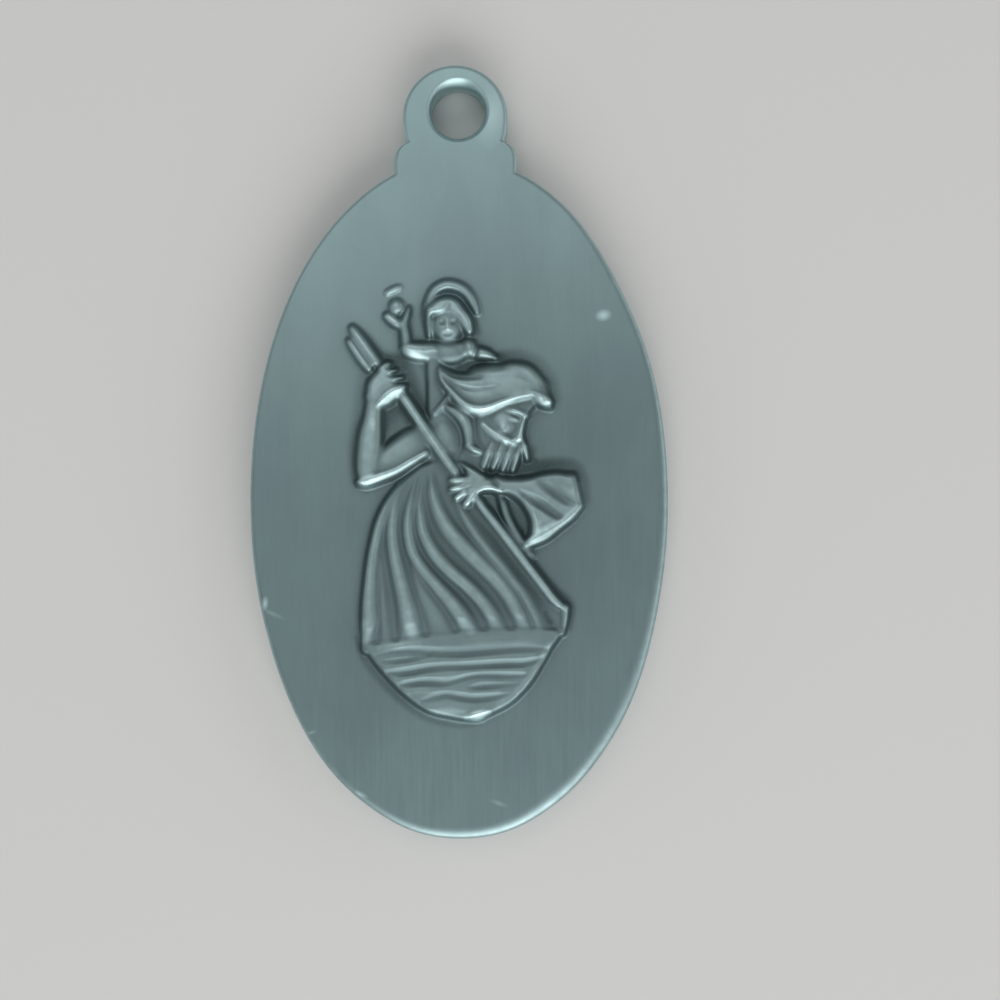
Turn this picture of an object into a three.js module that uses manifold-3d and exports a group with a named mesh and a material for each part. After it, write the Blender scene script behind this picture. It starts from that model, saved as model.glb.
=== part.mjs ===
// An oval religious medal, struck in one piece of grey pewter. A bearded saint leans on a staff and
// wades through water with a child on his back. Above the oval are a short neck and a drilled eye.
// The medal lies on its plain back, face up, with the eye towards +Y. Millimetres, +Z up. The origin
// is on the back, in the middle of the length and the width.
import * as THREE from 'three';
import { mergeVertices } from 'three/addons/utils/BufferGeometryUtils.js';
import Module from 'manifold-3d';

// The plate
const ovalWide = 14.0;
const ovalTall = 22.9;
const plateThick = 1.6;
const edgeRound = 0.28;
const ovalSteps = 84;

// The neck and the eye for the jump ring
const neckWide = 4.08;
const neckBulge = 0.13;
const eyeWide = 3.52;
const eyeStandoff = 1.36; // from the top of the oval to the middle of the eye
const notchWide = 3.15;
const holeWide = 1.85;
const holeAcross = 0.1; // the hole was drilled a little off the middle of the eye
const holeUp = 0.22;
const holeRound = 0.16;
const eyeSteps = 30;
const holeSteps = 24;

// The relief. All its tables are in hundredths of figureTall, from the medal's middle line and from
// the lowest point of the water, and their heights are shares of reliefRise.
const figureTall = 14.8;
const figureFoot = 4.02; // from the foot of the oval up to the lowest point of the water
const reliefRise = 0.46;
const reliefSides = 8;

const eyeRadius = eyeWide / 2;
const eyeMiddle = ovalTall / 2 + eyeStandoff;
const overallTall = ovalTall + eyeStandoff + eyeRadius;
const ovalMiddle = ovalTall / 2 - overallTall / 2; // moves the oval's middle into the part's frame

// Where the edge was trimmed by hand: how far it stands out of the true oval, in hundredths of
// ovalWide, at some angles round it.
const edgeTrim = [
  // angle  out
  [0, 0.1], [20, 0.3], [40, -0.3], [60, 0.2], [115, 0.0], [140, 0.2], [175, 0.0],
  [200, 0.3], [228, 0.8], [250, 0.1], [270, -0.4], [290, 0.0], [308, 0.5], [322, 0.7],
  [345, 0.1], [360, 0.1],
];

const toRadians = Math.PI / 180;

// How far the edge stands out at an angle, eased from one row of edgeTrim to the next.
function trimAt(angle) {
  const after = edgeTrim.findIndex(([at]) => at >= angle);
  if (after <= 0) return (edgeTrim[0][1] * ovalWide) / 100;
  const [from, low] = edgeTrim[after - 1];
  const [to, high] = edgeTrim[after];
  const share = THREE.MathUtils.smoothstep(angle, from, to);
  return ((low + (high - low) * share) * ovalWide) / 100;
}

// One outline goes round the oval, up one side of the neck, over the eye and down again.
function medalOutline() {
  const neckAngle = Math.acos(neckWide / ovalWide) / toRadians;
  const points = [];
  const sweep = 180 + 2 * neckAngle;
  for (let i = 0; i <= ovalSteps; i++) {
    const angle = 180 - neckAngle + (sweep * i) / ovalSteps;
    const out = trimAt(angle % 360);
    points.push(new THREE.Vector2(
      (ovalWide / 2 + out) * Math.cos(angle * toRadians),
      (ovalTall / 2 + out) * Math.sin(angle * toRadians)));
  }
  const notchAngle = Math.acos(notchWide / eyeWide);
  const notchUp = eyeMiddle - eyeRadius * Math.sin(notchAngle);
  const neckTop = (side) => new THREE.Vector2((side * notchWide) / 2, notchUp);
  const shoulder = (side) => new THREE.Vector2(side * (neckWide / 2 + neckBulge), notchUp - neckBulge);
  const rising = new THREE.QuadraticBezierCurve(points.at(-1), shoulder(1), neckTop(1));
  const falling = new THREE.QuadraticBezierCurve(neckTop(-1), shoulder(-1), points[0]);
  const eye = new THREE.EllipseCurve(
    0, eyeMiddle, eyeRadius, eyeRadius, -notchAngle, Math.PI + notchAngle);
  points.push(...rising.getPoints(5).slice(1), ...eye.getPoints(eyeSteps).slice(1));
  points.push(...falling.getPoints(5).slice(1, -1));
  return new THREE.Shape(points);
}

const wasm = await Module();
wasm.setup();

function toSolid(geometry) {
  const bare = geometry.clone();
  bare.deleteAttribute('normal');
  bare.deleteAttribute('uv');
  const merged = mergeVertices(bare);
  return new wasm.Manifold(new wasm.Mesh({
    numProp: 3,
    vertProperties: merged.attributes.position.array,
    triVerts: new Uint32Array(merged.index.array),
  }));
}

function toGeometry(solid) {
  const mesh = solid.getMesh();
  const geometry = new THREE.BufferGeometry();
  geometry.setAttribute('position', new THREE.BufferAttribute(mesh.vertProperties, 3));
  geometry.setIndex(new THREE.BufferAttribute(mesh.triVerts, 1));
  geometry.computeVertexNormals();
  return geometry;
}

// The blank that the relief stands on: both faces flat, and the edge rolled over between them.
function makeBlank() {
  const blank = new THREE.ExtrudeGeometry(medalOutline(), {
    depth: plateThick - 2 * edgeRound,
    bevelThickness: edgeRound,
    bevelSize: edgeRound,
    bevelOffset: -edgeRound,
    bevelSegments: 3,
    steps: 1,
  }).translate(0, 0, edgeRound);
  return toSolid(blank);
}

// The drill that opens the eye. It flares at both mouths, where the hole's edges are worn round.
function makeDrill() {
  const radius = holeWide / 2;
  const profile = [[0, -holeRound], [radius + 2 * holeRound, -holeRound]];
  for (const share of [0, 0.5, 1]) {
    const turn = (share * Math.PI) / 2;
    profile.push([radius + holeRound * (1 - Math.sin(turn)), holeRound * (1 - Math.cos(turn))]);
  }
  const mirrored = profile.map(([r, z]) => [r, plateThick - z]).reverse();
  const points = [...profile, ...mirrored].map(([r, z]) => new THREE.Vector2(r, z));
  const drill = new THREE.LatheGeometry(points, holeSteps)
    .rotateX(Math.PI / 2)
    .translate(holeAcross, eyeMiddle + holeUp, 0);
  return toSolid(drill);
}

// From hundredths of the figure into the plate's own place, on the face of the plate.
const unit = figureTall / 100;
const place = (across, up, high = 0) => new THREE.Vector3(
  across * unit, up * unit + figureFoot - ovalTall / 2, plateThick + high * reliefRise);

// A rounded ridge that stands half out of the face: a closed cylinder, bent along the rows' curve,
// with the width and the height of each row. With few rows it is a straight limb or a finger.
function ridge(rows, stepsPerRow = 1) {
  const curve = new THREE.CatmullRomCurve3(rows.map(([across, up]) => place(across, up)), false, 'centripetal');
  const steps = (rows.length - 1) * stepsPerRow;
  const geometry = new THREE.CylinderGeometry(1, 1, 1, reliefSides, steps);
  const position = geometry.attributes.position;
  for (let i = 0; i < position.count; i++) {
    const along = (0.5 - position.getY(i)) * (rows.length - 1);
    const row = Math.min(Math.floor(along), rows.length - 2);
    const share = along - row;
    const [, , wideA, highA] = rows[row];
    const [, , wideB, highB] = rows[row + 1];
    const wide = (wideA + (wideB - wideA) * share) * unit;
    const high = (highA + (highB - highA) * share) * reliefRise;
    const middle = curve.getPoint(along / (rows.length - 1));
    const ahead = curve.getTangent(along / (rows.length - 1));
    const side = new THREE.Vector3(ahead.y, -ahead.x, 0).normalize();
    middle.addScaledVector(side, (-position.getX(i) * wide) / 2);
    middle.z += position.getZ(i) * high;
    position.setXYZ(i, middle.x, middle.y, middle.z);
  }
  return toSolid(geometry);
}

// An egg that stands half out of the face.
function dome({ across, up, wide, tall, high, turn = 0 }) {
  const geometry = new THREE.SphereGeometry(1, 14, 8)
    .rotateX(Math.PI / 2)
    .scale((wide / 2) * unit, (tall / 2) * unit, high * reliefRise)
    .rotateZ(turn * toRadians);
  const at = place(across, up);
  return toSolid(geometry.translate(at.x, at.y, at.z));
}

// A flat ground with a sloping side, such as the sheet of water: its outline, its height, and how far
// the side leans in.
function ground(outline, high, lean) {
  const shape = new THREE.Shape(outline.map(([across, up]) => {
    const at = place(across, up);
    return new THREE.Vector2(at.x, at.y);
  }));
  const geometry = new THREE.ExtrudeGeometry(shape, {
    depth: high * reliefRise,
    bevelThickness: high * reliefRise,
    bevelSize: lean * unit,
    bevelOffset: -lean * unit,
    bevelSegments: 1,
    steps: 1,
  });
  return toSolid(geometry.translate(0, 0, plateThick - high * reliefRise));
}

function makeWater() {
  const sheet = [
    [-22.2, 17.4], [-20.3, 15], [-17.5, 11.2], [-14.8, 8], [-11.8, 5.2], [-8.6, 2.8], [-5, 1.1],
    [-1, 0.2], [2.5, 0], [5.5, 0.6], [8.5, 2.2], [12, 5], [15, 8.2], [18, 12.2], [20.5, 16.2],
    [23.2, 20.6], [10, 20.4], [0, 19.7], [-10, 18.5], [-17, 17.6],
  ];
  // Each wave: across  up  wide  high
  const waves = [
    [[-9, 18.1, 1.4, 0.54], [0, 19, 2.4, 0.66], [6, 19.3, 2.5, 0.66], [12, 19.2, 2.5, 0.66], [21.8, 19.3, 2, 0.62]],
    [[-17.6, 16.4, 2, 0.58], [-13, 17, 2.6, 0.7], [-9, 17.5, 2.6, 0.72], [-4, 17, 2.3, 0.64],
      [3, 16.9, 2.1, 0.62], [10, 17.4, 2.2, 0.66], [20.8, 17.3, 2, 0.64]],
    [[-19, 14.4, 1.6, 0.56], [-14, 14.9, 2, 0.64], [-7, 15.2, 1.8, 0.6], [0, 15.8, 1.2, 0.52]],
    [[-17.8, 12.2, 1.8, 0.6], [-13, 12.9, 2.3, 0.7], [-6, 13.2, 2.3, 0.68], [0, 14, 2.4, 0.68],
      [7, 14.4, 2.6, 0.72], [14, 14.8, 2.5, 0.72], [18.8, 15.2, 1.9, 0.62]],
    [[-15.2, 9.2, 1.6, 0.6], [-12, 10, 2.2, 0.7], [-5, 10.3, 2.1, 0.66], [2, 11.2, 2.1, 0.68],
      [9, 11.9, 2.3, 0.7], [16.5, 11.8, 1.7, 0.62]],
    [[1.5, 8.4, 1.2, 0.56], [6, 9.3, 2, 0.68], [14.7, 9.2, 1.6, 0.62]],
    [[-12.8, 6.9, 1.6, 0.58], [-8, 7.5, 2.4, 0.7], [-3, 6.9, 1.9, 0.64], [3, 6.2, 2.1, 0.68],
      [9, 6.7, 2.1, 0.66], [13.2, 7.1, 1.6, 0.62]],
    [[-9.4, 3.8, 1.6, 0.58], [-3, 3.5, 2.6, 0.7], [3, 3.8, 2.6, 0.68], [10.7, 4.9, 1.8, 0.62]],
    [[-3.4, 1.7, 1.4, 0.52], [3, 1.5, 2.2, 0.66], [7, 2.3, 1.7, 0.6]],
  ];
  return [ground(sheet, 0.46, 1), ...waves.map((rows) => ridge(rows))];
}

function makeRobe() {
  const cloth = [
    [-9, 58], [-14, 54], [-16.8, 49], [-18.8, 43], [-20.3, 37], [-21.4, 30], [-22, 24], [-22.3, 17],
    [0, 18.5], [23.8, 19.5], [24.4, 25.5], [20.8, 30.5], [15.6, 37], [10.6, 43.8], [5.8, 50], [1.5, 56],
    [-4, 60],
  ];
  // Each fold: across  up  wide  high
  const folds = [
    [[-13.6, 54, 1.6, 0.56], [-16.4, 47.5, 2.3, 0.68], [-18.2, 42, 2.5, 0.74], [-19.6, 35.5, 2.7, 0.78],
      [-20.3, 29.5, 3.1, 0.82], [-20.4, 24, 3.8, 0.82], [-20.6, 20.8, 3.4, 0.76], [-21.6, 17.4, 1, 0.56]],
    [[-17.4, 38.5, 1, 0.5], [-17.3, 31, 2.8, 0.6], [-17, 25, 3.3, 0.6], [-16.6, 18.6, 3, 0.54]],
    [[-11, 56.6, 1.5, 0.56], [-13.2, 50.5, 2.2, 0.7], [-14.4, 45, 2.6, 0.76], [-14.7, 40, 2.9, 0.8],
      [-14.1, 34.5, 3.4, 0.84], [-12.9, 29.5, 3.9, 0.86], [-11.7, 25, 4.7, 0.86], [-11, 19.6, 3.8, 0.74]],
    [[-12, 36.5, 1, 0.5], [-9.4, 30.5, 3, 0.64], [-6.8, 26, 4.2, 0.68], [-4, 19.8, 4.4, 0.62]],
    [[-9.4, 56.6, 1.5, 0.56], [-10.6, 50, 2.1, 0.7], [-11.3, 44, 2.5, 0.78], [-10.6, 38.5, 2.7, 0.82],
      [-8, 33, 2.9, 0.84], [-4, 28.8, 3.3, 0.86], [-0.4, 25, 3.8, 0.86], [2, 20.4, 3.2, 0.72]],
    [[-8.2, 56.6, 1.5, 0.56], [-8.5, 49.5, 2, 0.7], [-8.2, 43.5, 2.9, 0.8], [-6, 38.8, 3.4, 0.84],
      [-1, 34.2, 3.6, 0.84], [3, 30.5, 3.8, 0.84], [6.4, 25.5, 4, 0.82], [8.8, 20.4, 3.6, 0.72]],
    [[-6.8, 57.4, 2, 0.58], [-5.2, 51.5, 3.2, 0.76], [-2.8, 45.8, 4.2, 0.84], [1.4, 40, 4.6, 0.88],
      [6, 35, 4.4, 0.88], [10, 29.8, 4, 0.86], [13, 25, 3.8, 0.82], [15, 20.4, 3.4, 0.72]],
    [[-0.6, 50.4, 1.6, 0.56], [4, 44, 2.4, 0.64], [8.4, 38, 2.6, 0.66], [12.8, 32.2, 2.7, 0.66],
      [16.4, 26, 2.8, 0.66], [18.4, 20.4, 2.8, 0.58]],
    [[24, 25.9, 1.4, 0.72], [24, 23.5, 1.4, 0.66], [23.5, 19.6, 1.2, 0.56]],
  ];
  return [ground(cloth, 0.36, 0.8), ...folds.map((rows) => ridge(rows, 2))];
}

// The cloak that flies out behind the saint's forearm, with its wide bottom hem.
function makeCloak() {
  const cloth = [
    [9.5, 55.2], [15, 55.4], [20, 56.5], [26.4, 56.6], [27, 52.5], [28.4, 48.8], [25.2, 45.4],
    [22.5, 42.6], [18.5, 40.6], [14.8, 39.6], [16, 43], [15.6, 46], [14, 49], [11.5, 51.4], [9.5, 52],
  ];
  // Each fold: across  up  wide  high
  const folds = [
    [[9, 53.9, 3, 0.74], [15, 54.5, 3.6, 0.78], [20, 55.2, 3, 0.72], [25.4, 55.3, 2.4, 0.68]],
    [[25.6, 55.6, 1.8, 0.68], [26.2, 51.5, 2, 0.7], [27, 48.8, 1.8, 0.68]],
    [[12.5, 53.3, 3.4, 0.76], [17.5, 51.8, 3.8, 0.78], [21.5, 49.4, 3.4, 0.74], [25.2, 47, 2.2, 0.64]],
    [[11, 52.4, 2.6, 0.74], [14.4, 49.8, 3.4, 0.76], [16.8, 46.6, 3.9, 0.76], [17.8, 42.4, 3.6, 0.68]],
    [[15.4, 40.8, 1.8, 0.64], [19, 42, 2.6, 0.72], [22.8, 44.4, 2.3, 0.7], [27.2, 48.4, 1.8, 0.68]],
    [[9.2, 50, 1, 0.5], [11.4, 45.2, 1.6, 0.6], [14.8, 40.6, 1.5, 0.56]],
  ];
  return [ground(cloth, 0.4, 0.7), ...folds.map((rows) => ridge(rows))];
}

function makeStaff() {
  // across  up  wide  high
  const butt = [[-23.9, 88.6, 2, 0.5], [-22.4, 86.4, 3.2, 0.62], [-19.2, 81.2, 3.4, 0.7], [-16.5, 77, 3, 0.74]];
  const split = [[-24.5, 86.4, 0.8, 0.5], [-22.6, 83.4, 1.1, 0.72], [-20.2, 80.2, 1.2, 0.76]];
  const shaft = [[-16.5, 77, 2.6, 0.8], [-7.4, 65.8, 2.7, 0.82], [1.5, 53.8, 2.7, 0.82]];
  const foot = [[1.5, 53.8, 2.6, 0.84], [10.4, 42, 2.4, 0.84], [18, 31.8, 2.4, 0.82], [24, 25.4, 2.2, 0.76]];
  return [butt, split, shaft, foot].map((rows) => ridge(rows));
}

// The bent arm, with the fist that grips the top of the staff, and the bare chest.
function makeRightArm() {
  // across  up  wide  high
  const forearm = [
    [-20.9, 54.6, 3.6, 0.8], [-20.5, 58, 5.4, 0.9], [-20, 63, 5.4, 0.94], [-19.8, 68, 3.8, 0.88],
    [-19, 72, 3.6, 0.86], [-17.6, 76, 5, 0.9],
  ];
  const upperArm = [[-20.4, 55.8, 4.2, 0.78], [-16, 58.6, 5.6, 0.84], [-11, 61.8, 6.4, 0.84], [-7, 64, 6, 0.7]];
  const neckline = [[-21.2, 54, 1.6, 0.76], [-15, 55.8, 1.6, 0.78], [-8, 60, 1.6, 0.7]];
  const thumb = [[-17.6, 72.8, 2, 0.8], [-14.6, 73.8, 2.2, 0.94], [-12.4, 75.4, 1.5, 0.88]];
  const fingers = [0, 1, 2, 3].map((n) => [
    [-18.4 + 0.3 * n, 80.2 - 1.45 * n, 1.6, 0.84],
    [-15.4 + 0.5 * n, 80 - 1.4 * n, 1.5, 0.96],
    [-13.9 + 0.55 * n, 79.2 - 1.35 * n, 1.1, 0.84],
  ]);
  return [
    ...[forearm, upperArm, neckline, thumb, ...fingers].map((rows) => ridge(rows)),
    dome({ across: -17.2, up: 77.2, wide: 6.2, tall: 8, high: 0.92, turn: -20 }),
    dome({ across: -2.6, up: 65.2, wide: 6, tall: 9, high: 0.7, turn: 22 }),
  ];
}

// The hand that rests on the middle of the staff, and the wrist that comes out of the cloak.
function makeLeftHand() {
  // across  up  wide  high
  const wrist = [[2, 53.2, 4.6, 0.86], [6, 53.6, 3.6, 0.86], [10.5, 53.6, 3.4, 0.78]];
  const thumb = [[5, 55.2, 1.8, 0.8], [2.6, 56.6, 1.5, 0.84], [0.3, 58, 1, 0.7]];
  const fingers = [
    [[2.4, 54.6, 1.4, 0.9], [0, 54.9, 1.3, 0.96], [-1.9, 54.7, 0.9, 0.84]],
    [[2.2, 53.4, 1.4, 0.9], [0, 53.1, 1.3, 0.98], [-1.8, 52.6, 0.9, 0.84]],
    [[2.6, 52.2, 1.4, 0.9], [0.9, 51.6, 1.3, 0.98], [-0.7, 50.7, 1, 0.84]],
    [[3.4, 51.4, 1.5, 0.9], [2.6, 50.5, 1.4, 0.96], [1.6, 49.3, 1.1, 0.84]],
  ];
  return [wrist, thumb, ...fingers].map((rows) => ridge(rows));
}

// The child: halo, head, small shoulders, one arm that lifts an orb with a bar, one hand on the
// saint's hair, and the leg that hangs over his chest.
function makeChild() {
  const halo = Array.from({ length: 11 }, (_, n) => {
    const turn = (150 - 14.6 * n) * toRadians;
    return [-2.2 + 6.1 * Math.cos(turn), 92.6 + 6.1 * Math.sin(turn), n === 0 ? 0.8 : 1.6, n === 0 ? 0.3 : 0.56];
  });
  // across  up  wide  high
  const robe = [[-5.4, 84, 3.4, 0.58], [-5.9, 77, 2.6, 0.52], [-6, 69, 2.2, 0.46]];
  const sleeve = [[0, 85.4, 2.2, 0.68], [2.8, 84.3, 3.2, 0.74], [3.6, 82.4, 2, 0.66]];
  const hand = [[4.2, 83.6, 2.6, 0.72], [6.6, 83.1, 2.2, 0.7], [8.9, 81.9, 0.9, 0.54]];
  const upperArm = [[-5, 84.4, 2.6, 0.66], [-9, 83.8, 2.6, 0.7], [-12.2, 84.3, 2.2, 0.68]];
  const forearm = [[-12.2, 84.4, 2.1, 0.68], [-12.2, 88.4, 1.7, 0.62], [-11.5, 93.2, 1.1, 0.54]];
  const thumb = [[-12.8, 89.4, 1.4, 0.54], [-14.8, 90.4, 1.4, 0.58], [-16.5, 91.8, 1.1, 0.5]];
  const bar = [[-16.3, 97.2, 1.1, 0.4], [-13.7, 98.4, 1.1, 0.42]];
  const thigh = [[-2.3, 73.6, 1.3, 0.6], [-5, 70.2, 1.5, 0.62]];
  const knee = [[-2, 71, 1.5, 0.7], [0.6, 69, 1.7, 0.76]];
  const shin = [[0.6, 69.2, 1.7, 0.76], [2.2, 66.6, 1.7, 0.74], [2.4, 62.4, 1.4, 0.7]];
  const foot = [[2, 62.2, 1.5, 0.72], [4.4, 60.9, 1.3, 0.64]];
  const hair = [
    [-6.9, 87.6, 0.9, 0.5], [-6.7, 90.6, 1.2, 0.62], [-6, 93.2, 2.2, 0.78], [-3.6, 94.6, 2.6, 0.86],
    [-0.6, 94.2, 2.5, 0.86], [1.3, 91.8, 2, 0.8], [2.3, 88.2, 1.4, 0.68],
  ];
  const nose = [[-2.4, 91.3, 0.8, 0.76], [-2.4, 89.4, 1.1, 0.86]];
  const parts = [
    halo, robe, sleeve, hand, upperArm, forearm, thumb, bar, thigh, knee, shin, foot, hair, nose,
  ];
  return [
    ...parts.map((rows) => ridge(rows)),
    dome({ across: -2.3, up: 90.2, wide: 7.6, tall: 9, high: 0.78 }),
    dome({ across: -14.2, up: 93.4, wide: 3.3, tall: 3.3, high: 0.56 }),
    dome({ across: -2.2, up: 83.4, wide: 11.6, tall: 6, high: 0.68, turn: -4 }),
  ];
}

// The saint's head bows to the lower right. The hair sweeps back in a heavy cap with a rolled edge.
// The face is a plain one on schoolbook thirds: hair to brow, brow to nose, nose to chin.
function makeHead() {
  const hairline = [17.8, 71.6];
  const chin = [9.6, 59.4];
  const faceLong = Math.hypot(chin[0] - hairline[0], chin[1] - hairline[1]);
  const down = [(chin[0] - hairline[0]) / faceLong, (chin[1] - hairline[1]) / faceLong];
  const ahead = [-down[1], down[0]];
  // A point of the face: its share of the way down to the chin, and how far it lies ahead of that line.
  const face = (share, out) => [
    hairline[0] + faceLong * (share * down[0] + out * ahead[0]),
    hairline[1] + faceLong * (share * down[1] + out * ahead[1]),
  ];
  const turn = Math.atan2(ahead[1], ahead[0]) / toRadians;
  const faceDome = (share, out, wide, tall, high) => {
    const [across, up] = face(share, out);
    return dome({ across, up, wide, tall, high, turn });
  };
  const features = [
    faceDome(0.4, -0.36, 9.4, 13.4, 0.76), faceDome(0.84, -0.14, 5, 4.8, 0.8), faceDome(0.42, -0.15, 2, 1.3, 0.9),
  ];
  const brow = [[...face(0.26, 0.02), 1.4, 0.86], [...face(0.27, -0.14), 1.6, 0.88], [...face(0.32, -0.34), 1.1, 0.82]];
  const nose = [[...face(0.32, 0), 1.1, 0.82], [...face(0.5, 0.05), 1.5, 0.88], [...face(0.63, 0.09), 2, 0.92]];
  const moustache = [
    [...face(0.7, 0.04), 1.3, 0.86], [...face(0.74, -0.16), 1.9, 0.92], [...face(0.72, -0.46), 1.3, 0.82]];
  const beard = [
    [[8.2, 62.6, 1.5, 0.82], [6.9, 60.4, 2, 0.88], [5.5, 58.1, 1.3, 0.66]],
    [[9.9, 62.2, 1.6, 0.84], [8.8, 60, 2, 0.88], [7.6, 57.8, 1.3, 0.66]],
    [[11.8, 61.8, 1.6, 0.84], [10.9, 59.7, 2, 0.88], [9.9, 57.3, 1.3, 0.66]],
    [[13.3, 62, 1.5, 0.82], [12.9, 59.6, 1.8, 0.86], [12.4, 57, 1.2, 0.64]],
    [[14.1, 64.2, 1.4, 0.82], [14.7, 61.8, 1.7, 0.84], [15, 59.7, 1.2, 0.64]],
  ];
  const cap = [
    [-5, 80.6], [-2, 79.6], [3, 79.2], [6.6, 79.6], [9, 81], [12.2, 81.8], [15.2, 81.4], [18, 79.6],
    [20, 77], [21.2, 74], [21.3, 71.4], [19, 71.6], [17, 73], [14.6, 73.2], [11.6, 72.6], [8.6, 71.2],
    [5.6, 70.2], [3, 70.4], [0.8, 71.6], [-1.4, 74.2], [-3.6, 77.4],
  ].reverse();
  // across  up  wide  high
  const roll = [
    [-4.4, 79.4, 0.9, 0.62], [-2.6, 76.2, 1.3, 0.82], [0, 72.8, 1.7, 0.92], [3.4, 70.9, 2, 0.98],
    [7.4, 71.4, 1.9, 0.98], [11.6, 73.2, 1.7, 0.98], [15.6, 73.9, 1.7, 0.96], [19.8, 71.7, 2.4, 0.92],
  ];
  const locks = [
    [[-4, 80.2, 1, 0.62], [-0.6, 78.5, 2, 0.84], [4, 78, 2.4, 0.94], [10, 79.6, 3.6, 1], [15.6, 78.8, 4, 1],
      [19.4, 74.8, 3, 0.92]],
    [[-3.4, 78.6, 1, 0.66], [0, 76.6, 2.2, 0.9], [5, 76, 2.6, 0.98], [11, 77, 3.6, 1.02], [17.4, 75.6, 3.2, 1]],
    [[-1.8, 76, 1.2, 0.74], [2, 74.2, 2.4, 0.94], [7, 73.9, 2.8, 1], [13.4, 75.4, 2.8, 1]],
  ];
  return [
    ...features, ground(cap, 0.8, 0.9), ...[roll, ...locks].map((rows) => ridge(rows, 2)),
    ...[brow, nose, moustache, ...beard].map((rows) => ridge(rows)),
  ];
}

let medal = makeBlank();
const relief = [
  makeRobe(), makeWater(), makeCloak(), makeStaff(), makeRightArm(), makeChild(), makeHead(), makeLeftHand(),
];
for (const form of relief.flat()) medal = medal.add(form);
medal = medal.subtract(makeDrill());

const pewter = new THREE.MeshStandardMaterial({
  name: 'pewter', color: 0x84908f, roughness: 0.42, metalness: 1,
});
const mesh = new THREE.Mesh(toGeometry(medal), pewter);
mesh.name = 'medal';
mesh.position.y = ovalMiddle;

const pendant = new THREE.Group();
pendant.name = 'medal_pendant';
pendant.add(mesh);

export default pendant;
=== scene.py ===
import math

import bpy
import numpy as np
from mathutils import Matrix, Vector


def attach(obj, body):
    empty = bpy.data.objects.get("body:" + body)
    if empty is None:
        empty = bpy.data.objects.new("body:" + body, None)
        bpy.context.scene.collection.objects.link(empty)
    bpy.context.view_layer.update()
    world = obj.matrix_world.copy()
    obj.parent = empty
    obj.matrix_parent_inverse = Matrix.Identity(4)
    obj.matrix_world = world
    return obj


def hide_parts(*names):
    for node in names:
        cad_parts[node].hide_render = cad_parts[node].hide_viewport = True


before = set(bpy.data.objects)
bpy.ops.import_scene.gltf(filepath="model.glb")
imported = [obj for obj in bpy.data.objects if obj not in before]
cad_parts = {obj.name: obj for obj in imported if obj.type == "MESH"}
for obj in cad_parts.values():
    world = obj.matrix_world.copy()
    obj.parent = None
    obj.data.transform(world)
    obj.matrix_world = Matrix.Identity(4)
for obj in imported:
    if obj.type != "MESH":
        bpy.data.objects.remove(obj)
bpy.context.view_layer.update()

# The camera looks straight down on the medal as it lies on its back. It stands a little to the right
# of the middle and is turned a touch, so that the medal leans to the left in the picture. Its lens
# takes in 33.5 mm of the medal's face from 60 mm above it.
face_height = 0.0016
oval_middle = -0.00156
camera_above_face = 0.060
picture_wide = 0.03349
camera_turn = math.radians(-0.6)
camera_right_of_middle = 0.001373
camera_below_middle = 0.000017

camera_data = bpy.data.cameras.new("camera")
camera_data.sensor_width = 36
camera_data.lens = 36 * camera_above_face / picture_wide
camera_data.clip_start = 0.002
camera_data.clip_end = 10
camera = bpy.data.objects.new("camera", camera_data)
bpy.context.collection.objects.link(camera)
camera.rotation_euler = (0, 0, camera_turn)
turn_cos = math.cos(camera_turn)
turn_sin = math.sin(camera_turn)
camera.location = (
    camera_right_of_middle * turn_cos + camera_below_middle * turn_sin,
    oval_middle + camera_right_of_middle * turn_sin - camera_below_middle * turn_cos,
    face_height + camera_above_face,
)
bpy.context.scene.camera = camera
bpy.context.scene.view_settings.view_transform = "Standard"

# The studio: a plain pale floor, a soft grey room, a low key light from the foot of the medal, which
# catches the lower side of each raised form, and a broad soft light overhead towards the upper left.
floor_pale = (0.72, 0.71, 0.69, 1)
floor_wide = 3.0
room_grey = (0.30, 0.31, 0.315, 1)

bpy.ops.object.select_all(action="DESELECT")
bpy.ops.mesh.primitive_plane_add(size=floor_wide, location=(0, 0, 0))
floor = bpy.context.object
floor.name = "floor"
floor_material = bpy.data.materials.new("pale_floor")
floor_material.use_nodes = True
floor_shader = floor_material.node_tree.nodes["Principled BSDF"]
floor_shader.inputs["Base Color"].default_value = floor_pale
floor_shader.inputs["Roughness"].default_value = 0.8
floor.data.materials.append(floor_material)

room = bpy.data.worlds.new("room")
room.use_nodes = True
room.node_tree.nodes["Background"].inputs["Color"].default_value = room_grey
bpy.context.scene.world = room


def hang_light(name, place, aim, wide, tall, power):
    """A soft rectangular lamp, hung at a place and aimed at a point."""
    lamp = bpy.data.lights.new(name, "AREA")
    lamp.shape = "RECTANGLE"
    lamp.size = wide
    lamp.size_y = tall
    lamp.energy = power
    stand = bpy.data.objects.new(name, lamp)
    bpy.context.collection.objects.link(stand)
    stand.location = place
    stand.rotation_euler = (Vector(aim) - Vector(place)).to_track_quat("-Z", "Y").to_euler()


hang_light("key_light", (0.05, -0.30, 0.22), (0, 0, 0), 0.36, 0.30, 0.85)
hang_light("overhead_light", (-0.06, 0.13, 0.42), (0, 0, 0), 0.30, 0.30, 0.28)
hang_light("left_light", (-0.34, -0.06, 0.17), (0, 0, 0), 0.40, 0.20, 0.12)
hang_light("right_light", (0.34, 0.0, 0.17), (0, 0, 0), 0.52, 0.20, 0.23)

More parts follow.
